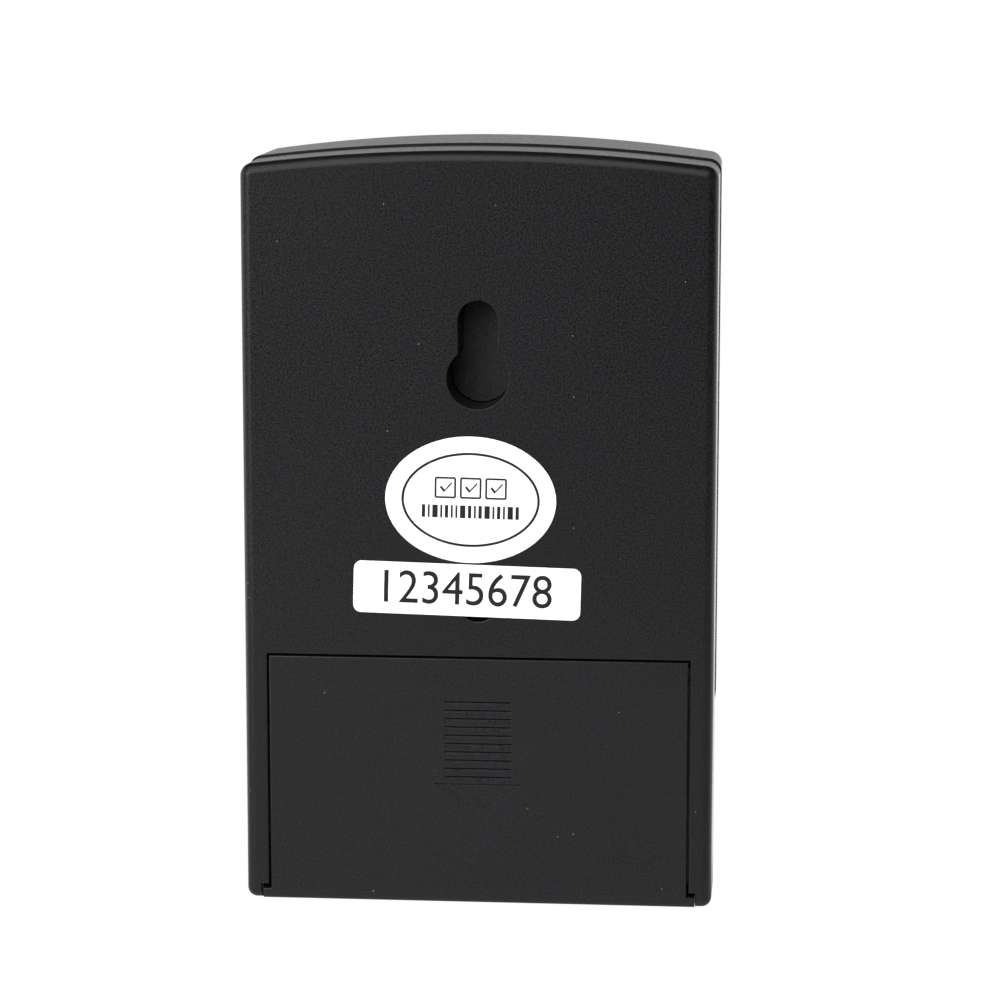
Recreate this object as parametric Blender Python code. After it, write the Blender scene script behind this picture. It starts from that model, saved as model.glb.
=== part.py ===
# Pocket geiger counter: two-part plastic case, sliding battery door, keyhole for hanging,
# display, four buttons, counting tube and its high-voltage supply on one board.
# The counter stands on its bottom edge. The front faces -Y, the back faces +Y, Z is up,
# and the origin is the centre of the bounding box's bottom.
# "Depth" below means distance in front of the flat back of the case.
import math

import bmesh
import bpy
from mathutils import Vector

MM = 0.001

# Fits
TOUCH_GAP = 0.3 * MM            # between pieces that rest on each other
SEAM_GAP = 0.3 * MM             # around the battery door
SLIDE_GAP = 0.3 * MM            # between the door's wings and their rails
LEAST_RADIUS = 0.3 * MM
ROUND_END = 0.01 * MM           # keeps the two corners of a round end apart
NEAR = 0.01 * MM
TONGUE_CLEARANCE = 0.1 * MM     # between the case's tongue and the cut for the bay

# Case
CASE_WIDTH = 70.0 * MM
HEAD_HEIGHT = 75.05 * MM        # crown of the back shell above the battery door
WALL = 2.0 * MM
REAR_DEPTH = 10.7 * MM          # back face to the parting line
PARTING_CHAMFER = 0.15 * MM     # on the back shell's edge at the parting line
GROOVE_WIDTH = 0.8 * MM         # shadow groove at the parting line
GROOVE_DEPTH = 1.0 * MM
PARTING_STEP = 0.35 * MM        # front shell stands above the back shell at the parting line
CROWN_RISE = 0.16 * MM          # and rises this much more towards the front
SIDE_STEP = 0.15 * MM           # front shell stands this far outside the back shell's sides
FRONT_DRAFT = 0.35 * MM         # its sides draw in by this much towards the front
REAR_ARCH_RADIUS = 272.0 * MM
FRONT_ARCH_RADIUS = 233.0 * MM
TOP_CORNER_RADIUS = 1.9 * MM
BOTTOM_CORNER_RADIUS = 1.5 * MM
REAR_EDGE_RADIUS = 1.6 * MM
FRONT_EDGE_RADIUS = 1.6 * MM
TONGUE_THICKNESS = 1.0 * MM
TONGUE_LENGTH = 1.8 * MM
WAIST = 0.6 * MM                # finger relief low on the sides of the front shell
WAIST_TOP = 27.0 * MM
WAIST_BLEND = 4.0 * MM

# Cells and battery bay
CELL_DIAMETER = 14.5 * MM
CELL_LENGTH = 50.5 * MM
CELL_NUB_RADIUS = 2.75 * MM
CELL_NUB_LENGTH = 1.0 * MM
CELL_SPACING = 0.4 * MM
SPRING_LENGTH = 6.4 * MM
SPRING_WIRE_RADIUS = 0.3 * MM
SPRING_BASE_RADIUS = 4.4 * MM
SPRING_TIP_RADIUS = 2.6 * MM
SPRING_TURNS = 4
CONTACT_THICKNESS = 0.4 * MM
CONTACT_WIDTH = 7.0 * MM
CONTACT_MARGIN = 1.2 * MM       # cell's edge to the contact's edge
TAB_WIDTH = 2.0 * MM
TAB_PROUD = 2.2 * MM            # tab above the bay's roof
TAB_NECK = 3.0 * MM
TAB_TAPER = 0.2 * MM
CELL_EDGE = 0.5 * MM
BAY_WALL = 1.4 * MM
BAY_SCREW_STRIP = 4.1 * MM      # room above the upper cell for the bay's two screws
BAY_FLOOR_THICKNESS = 1.5 * MM

# Battery door
DOOR_THICKNESS = 1.8 * MM
DOOR_SIDE_MARGIN = 3.57 * MM    # case side to the middle of the door's side seam
FLANGE_OVERHANG = 1.2 * MM
FLANGE_THICKNESS = 1.65 * MM
FLANGE_GAP = 0.65 * MM          # open notch above the foot flange
DOOR_FOOT_RADIUS = 0.9 * MM
WING_REACH = 1.0 * MM
WING_THICKNESS = 1.0 * MM
RAIL_THICKNESS = 1.2 * MM
RIB_THICKNESS = 1.1 * MM
GRIP_COUNT = 10
GRIP_PITCH = 1.27 * MM
GRIP_WIDTH = 10.0 * MM
GRIP_DEPTH = 0.28 * MM
GRIP_RAMP = 1.05 * MM
GRIP_BELOW_DOOR_TOP = 6.45 * MM
ARROW_WIDTH = 13.1 * MM
ARROW_LENGTH = 5.1 * MM
ARROW_DEPTH = 0.3 * MM
ARROW_BELOW_GRIP = 1.1 * MM
PAD_THICKNESS = 0.8 * MM
PAD_WIDTH = 36.0 * MM
PAD_HEIGHT = 21.0 * MM
PAD_CORNER = 1.0 * MM
DOOR_END_GAP = 1.2 * MM         # wings and ribs stop this far below the door's top

# Keyhole
KEY_ENTRY_RADIUS = 4.57 * MM
KEY_SLOT_RADIUS = 2.92 * MM
KEY_BELOW_CROWN = 33.3 * MM
KEY_SLOT_RISE = 11.5 * MM       # entry centre to the top of the slot
KEY_PLATE = 2.0 * MM            # thickness that the screw head hooks behind
KEY_POCKET_DEPTH = 9.0 * MM
KEY_FLOOR_RISE = 1.2 * MM       # raised floor that faces the opening
KEY_BOX_WALL = 1.4 * MM

# Labels
LABEL_THICKNESS = 0.2 * MM
LABEL_GAP = 0.05 * MM
LABEL_SPACING = 0.25 * MM
SERIAL_WIDTH = 33.8 * MM
SERIAL_HEIGHT = 7.8 * MM
SERIAL_CORNER = 1.2 * MM
SERIAL_ABOVE_SCREW = 1.7 * MM
SERIAL_TILT = math.radians(1.4)
OVAL_WIDTH = 25.3 * MM
OVAL_HEIGHT = 18.9 * MM
OVAL_TILT = math.radians(1.0)
OVAL_OFFSET = 1.05 * MM         # the labels sit a little off the middle
SERIAL_OFFSET = 1.6 * MM

# Screws: head radius, head height, shank radius, shank length
CENTRE_SCREW_SIZE = (2.5 * MM, 1.8 * MM, 1.3 * MM, 10.0 * MM)
BAY_SCREW_SIZE = (1.7 * MM, 1.3 * MM, 1.0 * MM, 8.0 * MM)
BOARD_SCREW_SIZE = (1.9 * MM, 1.2 * MM, 1.0 * MM, 4.5 * MM)
CENTRE_SCREW_ABOVE_DOOR = 8.4 * MM
CENTRE_BORE_RADIUS = 3.0 * MM
BOSS_WALL = 1.5 * MM
CENTRE_POST_RADIUS = 3.3 * MM
BAY_POST_RADIUS = 2.8 * MM
BOARD_POST_RADIUS = 2.0 * MM
POST_CLEARANCE = 0.5 * MM       # board's holes round the posts
BAY_SCREW_X = 22.0 * MM
SCREW_BORE_GAP = 0.3 * MM
DRIVE_RADIUS = 0.45             # share of the head's radius that the cross recess reaches

# Board stack in front of the bay
BOARD_BEHIND_GAP = 1.5 * MM
BOARD_THICKNESS = 1.6 * MM
BOARD_MARGIN = 1.4 * MM
BOARD_BELOW_CROWN = 4.6 * MM
BOARD_BOTTOM = 9.0 * MM
FRONT_SPACE = 5.4 * MM          # board to the inside of the front wall
BOARD_SCREW_INSET = 2.2 * MM
BOARD_CORNER = 2.0 * MM
UPPER_SCREW_RISE = 8.0 * MM     # upper board screws above the display's middle
PART_CORNER = 0.4 * MM
TRANSFORMER_SIZE = (13.0 * MM, 12.0 * MM, 9.0 * MM)
TRANSFORMER_X = 15.0 * MM
HV_CAPACITOR_SIZE = (13.0 * MM, 6.0 * MM, 9.0 * MM)
HV_CAPACITOR_PLACE = (-16.0 * MM, 3.0 * MM)     # x, and above the middle of the supply's parts
CHIP_SIZE = (9.0 * MM, 9.0 * MM, 1.5 * MM)
CHIP_PLACE = (-15.0 * MM, -8.5 * MM)
CRYSTAL_SIZE = (4.0 * MM, 8.0 * MM, 3.0 * MM)
CRYSTAL_PLACE = (-5.5 * MM, -6.5 * MM)
FILTER_PLACE = (25.5 * MM, -4.0 * MM)
FILTER_RADIUS = 3.1 * MM
FILTER_CRIMP = 0.3 * MM
FILTER_HEIGHT = 7.0 * MM
FILTER_CRIMP_HEIGHT = 1.1 * MM

# Display
LENS_WIDTH = 54.0 * MM
LENS_HEIGHT = 40.0 * MM
LENS_THICKNESS = 1.2 * MM
LENS_CORNER = 3.0 * MM
LENS_LEDGE = 2.0 * MM
LENS_BELOW_CROWN = 10.2 * MM
GLASS_WIDTH = 52.0 * MM
GLASS_HEIGHT = 37.0 * MM
GLASS_THICKNESS = 2.1 * MM
FRAME_RIM = 1.2 * MM
ZEBRA_DEPTH = 1.8 * MM
LIGHT_THICKNESS = 1.3 * MM

# Buttons
BUTTON_PITCH = 18.0 * MM
BUTTON_WIDTH = 12.5 * MM
BUTTON_HEIGHT = 6.4 * MM
BUTTON_BELOW_LENS = 7.4 * MM
POWER_RADIUS = 4.8 * MM
POWER_BELOW_SCREW = 12.4 * MM
BUTTON_PROUD = 0.8 * MM
BUTTON_GAP = 0.3 * MM
BUTTON_FLANGE = 0.8 * MM
BUTTON_FLANGE_THICKNESS = 1.0 * MM
BUTTON_TRAVEL = 0.5 * MM
BUTTON_EDGE = 0.45 * MM
SWITCH_SIZE = 6.0 * MM
SWITCH_HEIGHT = 2.2 * MM
PLUNGER_RADIUS = 1.7 * MM
PLUNGER_PROUD = 0.8 * MM

# Sounder, lamp and counting tube
SOUNDER_RADIUS = 6.0 * MM
SOUNDER_HEIGHT = 4.2 * MM
SOUNDER_Z = 18.0 * MM
SOUND_PORT_RADIUS = 1.2 * MM
SOUND_PORT_DEPTH = 1.0 * MM
SLOT_COUNT = 5
SLOT_WIDTH = 1.2 * MM
SLOT_PITCH = 2.4 * MM
LAMP_X = 20.0 * MM
LAMP_BELOW_CROWN = 6.4 * MM
PIPE_RADIUS = 1.5 * MM
PIPE_FLANGE = 0.7 * MM
PIPE_SHOULDER = 1.0 * MM
PIPE_DOME = 0.3 * MM
LAMP_SIZE = (3.2 * MM, 1.2 * MM, 2.0 * MM)
TUBE_RADIUS = 5.0 * MM
TUBE_GLASS_LENGTH = 48.0 * MM
TUBE_CAP_LENGTH = 4.5 * MM
TUBE_CAP_WALL = 0.3 * MM
TUBE_BELOW_CROWN = 11.6 * MM
TUBE_ABOVE_BOARD = 3.4 * MM     # glass to the board
TUBE_EDGE = 0.6 * MM
TUBE_PIN_RADIUS = 1.0 * MM
TUBE_PIN_LENGTH = 1.2 * MM
CLIP_OPENING = math.radians(55)
CLIP_STEM_HEIGHT = 3.0 * MM
STEM_MARGIN = 0.1 * MM
CLIP_THICKNESS = 0.5 * MM
CLIP_WIDTH = 3.0 * MM
LEAD_RADIUS = 0.6 * MM
LEAD_RISE = 7.0 * MM            # board end above the contact tabs
RED_LEAD_REACH = 4.0 * MM
BLACK_LEAD_REACH = 9.0 * MM
LEAD_START_PULL = 5.0 * MM      # straight run out of the tab
LEAD_END_PULL = 4.0 * MM        # and into the board
LEAD_POINTS = 12

# Worked out from the sizes above
HALF_WIDTH = CASE_WIDTH / 2
CELL_RADIUS = CELL_DIAMETER / 2
DOOR_HALF_WIDTH = HALF_WIDTH - DOOR_SIDE_MARGIN - SEAM_GAP / 2
DOOR_OPENING_HALF_WIDTH = DOOR_HALF_WIDTH + SEAM_GAP
FLANGE_HALF_WIDTH = DOOR_HALF_WIDTH + FLANGE_OVERHANG
NOTCH_TOP = FLANGE_THICKNESS + FLANGE_GAP
BAY_WALL_BOTTOM = max(NOTCH_TOP, WALL) + TOUCH_GAP
BAY_BOTTOM = BAY_WALL_BOTTOM + BAY_WALL
LOWER_CELL_Z = BAY_BOTTOM + TOUCH_GAP + CELL_RADIUS
UPPER_CELL_Z = LOWER_CELL_Z + CELL_DIAMETER + CELL_SPACING
BAY_TOP = UPPER_CELL_Z + CELL_RADIUS + BAY_SCREW_STRIP
DOOR_TOP = BAY_TOP - SEAM_GAP
REAR_CROWN = BAY_TOP + HEAD_HEIGHT
FRONT_CROWN = REAR_CROWN + PARTING_STEP + CROWN_RISE
PAD_DEPTH = DOOR_THICKNESS + TOUCH_GAP
CELL_DEPTH = PAD_DEPTH + PAD_THICKNESS + TOUCH_GAP + CELL_RADIUS
BAY_FLOOR_DEPTH = CELL_DEPTH + CELL_RADIUS + TOUCH_GAP
BAY_END_DEPTH = BAY_FLOOR_DEPTH + BAY_FLOOR_THICKNESS
BOARD_DEPTH = BAY_END_DEPTH + BOARD_BEHIND_GAP
BOARD_FRONT_DEPTH = BOARD_DEPTH + BOARD_THICKNESS
FRONT_WALL_DEPTH = BOARD_FRONT_DEPTH + FRONT_SPACE
CASE_DEPTH = FRONT_WALL_DEPTH + WALL
BAY_HALF_WIDTH = CELL_LENGTH / 2 + (SPRING_LENGTH + 3 * TOUCH_GAP) / 2 + CONTACT_THICKNESS + TOUCH_GAP
RAIL_DEPTH = WALL + SLIDE_GAP + WING_THICKNESS + SLIDE_GAP
REAR_Y = (CASE_DEPTH + BUTTON_PROUD) / 2
SCREW_Z = BAY_TOP + CENTRE_SCREW_ABOVE_DOOR
BAY_SCREW_Z = BAY_TOP - BAY_SCREW_STRIP / 2
KEY_Z = REAR_CROWN - KEY_BELOW_CROWN
SERIAL_Z = SCREW_Z + SERIAL_ABOVE_SCREW
OVAL_Z = SERIAL_Z + (SERIAL_HEIGHT + OVAL_HEIGHT) / 2 + LABEL_SPACING
LENS_Z = FRONT_CROWN - LENS_BELOW_CROWN - LENS_HEIGHT / 2
BUTTON_Z = LENS_Z - LENS_HEIGHT / 2 - BUTTON_BELOW_LENS
POWER_Z = SCREW_Z - POWER_BELOW_SCREW
TUBE_Z = REAR_CROWN - TUBE_BELOW_CROWN
TUBE_DEPTH = BOARD_DEPTH - TUBE_ABOVE_BOARD - TUBE_RADIUS
BOARD_HALF_WIDTH = HALF_WIDTH - WAIST - WALL - BOARD_MARGIN
BOARD_TOP = REAR_CROWN - BOARD_BELOW_CROWN
LAMP_Z = FRONT_CROWN - LAMP_BELOW_CROWN
GLASS_DEPTH = FRONT_WALL_DEPTH - TOUCH_GAP - GLASS_THICKNESS

SCREW_POSTS = ((-BAY_SCREW_X, BAY_SCREW_Z), (BAY_SCREW_X, BAY_SCREW_Z))
BOARD_SCREW_X = BOARD_HALF_WIDTH - BOARD_SCREW_INSET
BOARD_SCREWS = (
    ("lower_left", -BOARD_SCREW_X, SCREW_Z),
    ("lower_right", BOARD_SCREW_X, SCREW_Z),
    ("upper_left", -BOARD_SCREW_X, LENS_Z + UPPER_SCREW_RISE),
    ("upper_right", BOARD_SCREW_X, LENS_Z + UPPER_SCREW_RISE),
)
BUTTONS = (
    ("mode", -BUTTON_PITCH, BUTTON_Z, BUTTON_WIDTH, BUTTON_HEIGHT),
    ("set", 0.0, BUTTON_Z, BUTTON_WIDTH, BUTTON_HEIGHT),
    ("sound", BUTTON_PITCH, BUTTON_Z, BUTTON_WIDTH, BUTTON_HEIGHT),
    ("power", 0.0, POWER_Z, 2 * POWER_RADIUS, 2 * POWER_RADIUS),
)

for old in list(bpy.data.objects):
    bpy.data.objects.remove(old, do_unlink=True)


def at(x, depth, z):
    """A point given by its depth in front of the back face."""
    return Vector((x, REAR_Y - depth, z))


def plastic(name, colour, roughness, metallic=0.0):
    material = bpy.data.materials.new(name)
    material.use_nodes = True
    shader = material.node_tree.nodes["Principled BSDF"]
    shader.inputs["Base Color"].default_value = (*colour, 1.0)
    shader.inputs["Roughness"].default_value = roughness
    shader.inputs["Metallic"].default_value = metallic
    return material


BLACK = (0.027, 0.027, 0.029)
DARK = (0.012, 0.012, 0.013)
WHITE = (0.85, 0.85, 0.84)
STEEL = (0.55, 0.55, 0.56)
GREEN = (0.02, 0.12, 0.05)
RED = (0.5, 0.02, 0.02)


def finish(name, mesh, origin, colour, roughness=0.5, metallic=0.0, smooth=35.0):
    """Turn a bmesh in world coordinates into a named object placed at origin."""
    bmesh.ops.recalc_face_normals(mesh, faces=mesh.faces)
    bmesh.ops.translate(mesh, vec=-origin, verts=mesh.verts)
    data = bpy.data.meshes.new(name)
    mesh.to_mesh(data)
    mesh.free()
    data.shade_smooth()
    data.set_sharp_from_angle(angle=math.radians(smooth))
    data.materials.append(plastic(name + "_finish", colour, roughness, metallic))
    thing = bpy.data.objects.new(name, data)
    thing.location = origin
    bpy.context.scene.collection.objects.link(thing)
    return thing


def shape_with(target, mesh, operation):
    """Cut or join a bmesh in world coordinates with the target."""
    bmesh.ops.recalc_face_normals(mesh, faces=mesh.faces)
    label = f"{target.name}_{operation.lower()}_{len(target.modifiers)}"
    data = bpy.data.meshes.new(label)
    mesh.to_mesh(data)
    mesh.free()
    tool = bpy.data.objects.new(label, data)
    tool.hide_render = True
    tool.display_type = "WIRE"
    bpy.context.scene.collection.objects.link(tool)
    step = target.modifiers.new(label, "BOOLEAN")
    step.operation = operation
    step.solver = "EXACT"
    step.object = tool


def cut(target, mesh):
    shape_with(target, mesh, "DIFFERENCE")


def join(target, mesh):
    shape_with(target, mesh, "UNION")


def loft(mesh, rings):
    """One closed skin through rings with equal point counts, capped at both ends."""
    rows = [[mesh.verts.new(point) for point in ring] for ring in rings]
    count = len(rows[0])
    for row, following in zip(rows, rows[1:]):
        for i in range(count):
            j = (i + 1) % count
            mesh.faces.new((row[i], row[j], following[j], following[i]))
    mesh.faces.new(rows[0])
    mesh.faces.new(reversed(rows[-1]))


def add_box(mesh, x_range, depth_range, z_range):
    corners = [(x_range[i], z_range[j]) for i, j in ((0, 0), (1, 0), (1, 1), (0, 1))]
    loft(mesh, [[at(x, depth, z) for x, z in corners] for depth in depth_range])


def add_prism(mesh, outline, depth_range):
    """Extrude an XZ outline through a range of depths."""
    loft(mesh, [[at(x, depth, z) for x, z in outline] for depth in depth_range])


def circle(centre_x, centre_z, radius, segments=24):
    turns = [2 * math.pi * i / segments for i in range(segments)]
    return [(centre_x + radius * math.cos(a), centre_z + radius * math.sin(a)) for a in turns]


def rounded_rectangle(centre_x, centre_z, width, height, radius, segments=5):
    points = []
    for sign_x, sign_z, start in ((1, 1, 0), (-1, 1, 90), (-1, -1, 180), (1, -1, 270)):
        corner_x = centre_x + sign_x * (width / 2 - radius)
        corner_z = centre_z + sign_z * (height / 2 - radius)
        for i in range(segments + 1):
            angle = math.radians(start + 90 * i / segments)
            points.append((corner_x + radius * math.cos(angle), corner_z + radius * math.sin(angle)))
    return points


def add_turned(mesh, centre_x, centre_z, steps, segments=20):
    """A round piece along the depth axis from (depth, radius) steps."""
    loft(mesh, [[at(x, depth, z) for x, z in circle(centre_x, centre_z, radius, segments)]
                for depth, radius in steps])


def add_turned_along_x(mesh, depth, z, steps, segments=24):
    """A round piece along X from (x, radius) steps."""
    turns = [2 * math.pi * i / segments for i in range(segments)]
    loft(mesh, [[at(x, depth + radius * math.cos(a), z + radius * math.sin(a)) for a in turns]
                for x, radius in steps])


def case_outline(inset, spread, crown, arch_radius, waist=0.0):
    """The case's XZ outline, arched at the top, drawn in by inset all round.

    The draft is given by spread, which widens the sides and lifts the top but leaves the foot flat.
    """
    half = HALF_WIDTH - inset + spread
    foot_half = half - waist
    arch = arch_radius - inset + spread
    arch_z = crown - arch_radius
    top = max(TOP_CORNER_RADIUS - inset, LEAST_RADIUS)
    foot = max(BOTTOM_CORNER_RADIUS - inset, LEAST_RADIUS)
    corner_z = arch_z + math.sqrt((arch - top) ** 2 - (half - top) ** 2)
    lean = math.atan2(corner_z - arch_z, half - top)
    right = []
    for i in range(5):
        angle = math.radians(-90 + 90 * i / 4)
        right.append((foot_half - foot + foot * math.cos(angle), inset + foot + foot * math.sin(angle)))
    right.append((foot_half, WAIST_TOP))
    right.append((half, WAIST_TOP + WAIST_BLEND))
    for i in range(5):
        angle = lean * i / 4
        right.append((half - top + top * math.cos(angle), corner_z + top * math.sin(angle)))
    for i in range(1, 8):
        angle = lean + (math.pi / 2 - lean) * i / 8
        right.append((arch * math.cos(angle), arch_z + arch * math.sin(angle)))
    left = [(-x, z) for x, z in reversed(right)]
    return right + [(0.0, crown - inset + spread)] + left


def rear_ring(depth, inset):
    outline = case_outline(inset, 0.0, REAR_CROWN, REAR_ARCH_RADIUS)
    return [at(x, depth, z) for x, z in outline]


def front_ring(depth, inset):
    """The front shell's outline, whose sides draw in and whose crown curves more towards the front."""
    share = (depth - REAR_DEPTH) / (CASE_DEPTH - REAR_DEPTH)
    spread = SIDE_STEP - FRONT_DRAFT * share
    crown = FRONT_CROWN - CROWN_RISE * (1 - share)
    arch_radius = 1 / ((1 - share) / REAR_ARCH_RADIUS + share / FRONT_ARCH_RADIUS)
    outline = case_outline(inset, spread, crown - spread, arch_radius, WAIST)
    return [at(x, depth, z) for x, z in outline]


def both_sides(mesh, x_range, depth_range, z_range):
    add_box(mesh, x_range, depth_range, z_range)
    add_box(mesh, (-x_range[1], -x_range[0]), depth_range, z_range)


def keyhole_outline(entry_radius, slot_radius, segments=10):
    """Round entry with a narrower slot rising from it."""
    spread = math.asin(min(slot_radius / entry_radius, 1.0))
    slot_z = KEY_Z + KEY_SLOT_RISE - KEY_SLOT_RADIUS
    points = []
    for i in range(2 * segments + 1):
        angle = math.pi / 2 + spread + (2 * math.pi - 2 * spread) * i / (2 * segments)
        points.append((entry_radius * math.cos(angle), KEY_Z + entry_radius * math.sin(angle)))
    for i in range(segments + 1):
        angle = math.pi * i / segments
        points.append((slot_radius * math.cos(angle), slot_z + slot_radius * math.sin(angle)))
    return points


def tilted(outline, centre_x, centre_z, tilt):
    """Turn an outline about its centre, clockwise as seen from the back."""
    turned = []
    for x, z in outline:
        dx = x - centre_x
        dz = z - centre_z
        turned.append((centre_x + dx * math.cos(tilt) - dz * math.sin(tilt),
                       centre_z + dx * math.sin(tilt) + dz * math.cos(tilt)))
    return turned


def oval_outline(grow=0.0):
    turns = [2 * math.pi * i / 40 for i in range(40)]
    points = [(OVAL_OFFSET + (OVAL_WIDTH / 2 + grow) * math.cos(a),
               OVAL_Z + (OVAL_HEIGHT / 2 + grow) * math.sin(a)) for a in turns]
    return tilted(points, OVAL_OFFSET, OVAL_Z, OVAL_TILT)


def serial_outline(grow=0.0):
    points = rounded_rectangle(SERIAL_OFFSET, SERIAL_Z, SERIAL_WIDTH + 2 * grow,
                               SERIAL_HEIGHT + 2 * grow, SERIAL_CORNER + grow)
    return tilted(points, SERIAL_OFFSET, SERIAL_Z, SERIAL_TILT)


def make_rear_case():
    rings = []
    for i in range(5):
        angle = math.radians(90 * i / 4)
        rings.append(rear_ring(REAR_EDGE_RADIUS * (1 - math.cos(angle)),
                               REAR_EDGE_RADIUS * (1 - math.sin(angle))))
    rings.append(rear_ring(REAR_DEPTH - PARTING_CHAMFER, 0.0))
    rings.append(rear_ring(REAR_DEPTH, PARTING_CHAMFER))
    rings.append(rear_ring(REAR_DEPTH, WALL))
    rings.append(rear_ring(WALL, WALL))
    mesh = bmesh.new()
    loft(mesh, rings)
    case = finish("rear_case", mesh, at(0, 0, 0), BLACK, 0.55)

    outer = BAY_HALF_WIDTH + BAY_WALL
    bay = bmesh.new()
    add_box(bay, (-outer, outer), (RAIL_DEPTH, BAY_END_DEPTH), (BAY_WALL_BOTTOM, BAY_TOP + BAY_WALL))
    join(case, bay)
    roof = bmesh.new()
    add_box(roof, (-outer, outer), (WALL / 2, RAIL_DEPTH + BAY_WALL), (BAY_TOP, BAY_TOP + BAY_WALL * 0.9))
    join(case, roof)
    rails = bmesh.new()
    both_sides(rails, (BAY_HALF_WIDTH, HALF_WIDTH - WALL / 2), (RAIL_DEPTH, RAIL_DEPTH + RAIL_THICKNESS),
               (BAY_WALL_BOTTOM, BAY_TOP + BAY_WALL))
    join(case, rails)
    boss = bmesh.new()
    boss_end = BAY_FLOOR_DEPTH - CENTRE_SCREW_SIZE[1]
    add_turned(boss, 0, SCREW_Z, ((WALL / 2, CENTRE_BORE_RADIUS + BOSS_WALL),
                                  (boss_end, CENTRE_BORE_RADIUS + BOSS_WALL)))
    join(case, boss)
    key_box = bmesh.new()
    box_half = KEY_ENTRY_RADIUS + KEY_BOX_WALL
    key_top = KEY_Z + KEY_SLOT_RISE - KEY_SLOT_RADIUS + box_half
    add_box(key_box, (-box_half, box_half), (WALL / 2, KEY_POCKET_DEPTH + KEY_BOX_WALL),
            (KEY_Z - box_half, key_top))
    join(case, key_box)

    opening = bmesh.new()
    add_box(opening, (-DOOR_OPENING_HALF_WIDTH, DOOR_OPENING_HALF_WIDTH), (-WALL, WALL + SLIDE_GAP),
            (-WALL, BAY_TOP))
    cut(case, opening)
    hollow = bmesh.new()
    add_box(hollow, (-BAY_HALF_WIDTH, BAY_HALF_WIDTH), (WALL / 2, BAY_FLOOR_DEPTH), (BAY_BOTTOM, BAY_TOP))
    cut(case, hollow)
    notch = bmesh.new()
    notch_half = FLANGE_HALF_WIDTH + SEAM_GAP
    add_box(notch, (-notch_half, notch_half), (-WALL, REAR_DEPTH + WALL), (-WALL, NOTCH_TOP))
    cut(case, notch)
    keyhole = bmesh.new()
    add_prism(keyhole, keyhole_outline(KEY_ENTRY_RADIUS, KEY_SLOT_RADIUS), (-WALL, KEY_PLATE + LEAST_RADIUS))
    cut(case, keyhole)
    pocket = bmesh.new()
    add_prism(pocket, keyhole_outline(KEY_ENTRY_RADIUS, KEY_ENTRY_RADIUS), (KEY_PLATE, KEY_POCKET_DEPTH))
    cut(case, pocket)
    key_floor = bmesh.new()
    add_prism(key_floor, keyhole_outline(KEY_ENTRY_RADIUS - TOUCH_GAP / 3, KEY_SLOT_RADIUS - TOUCH_GAP / 3),
              (KEY_POCKET_DEPTH - KEY_FLOOR_RISE, KEY_POCKET_DEPTH + KEY_BOX_WALL / 2))
    join(case, key_floor)
    bore = bmesh.new()
    add_turned(bore, 0, SCREW_Z, ((-WALL, CENTRE_BORE_RADIUS), (boss_end - WALL, CENTRE_BORE_RADIUS)))
    cut(case, bore)
    shank = bmesh.new()
    add_turned(shank, 0, SCREW_Z, ((boss_end - 2 * WALL, CENTRE_SCREW_SIZE[2] + SCREW_BORE_GAP),
                                   (boss_end + WALL, CENTRE_SCREW_SIZE[2] + SCREW_BORE_GAP)), 16)
    cut(case, shank)
    bay_holes = bmesh.new()
    for x, z in SCREW_POSTS:
        add_turned(bay_holes, x, z, ((BAY_FLOOR_DEPTH - WALL, BAY_SCREW_SIZE[2] + SCREW_BORE_GAP),
                                     (BAY_END_DEPTH + WALL, BAY_SCREW_SIZE[2] + SCREW_BORE_GAP)), 12)
    for tab_depth in contact_tab_depths():
        add_box(bay_holes, (contact_x() - TOUCH_GAP, contact_x() + CONTACT_THICKNESS + TOUCH_GAP),
                (tab_depth - TOUCH_GAP, tab_depth + TAB_WIDTH + TOUCH_GAP),
                (BAY_TOP - WALL, BAY_TOP + BAY_WALL + WALL))
    cut(case, bay_holes)
    recesses = bmesh.new()
    add_prism(recesses, oval_outline(LABEL_GAP), (-WALL, LABEL_THICKNESS + LABEL_GAP))
    add_prism(recesses, serial_outline(LABEL_GAP), (-WALL, LABEL_THICKNESS + LABEL_GAP))
    cut(case, recesses)


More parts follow.
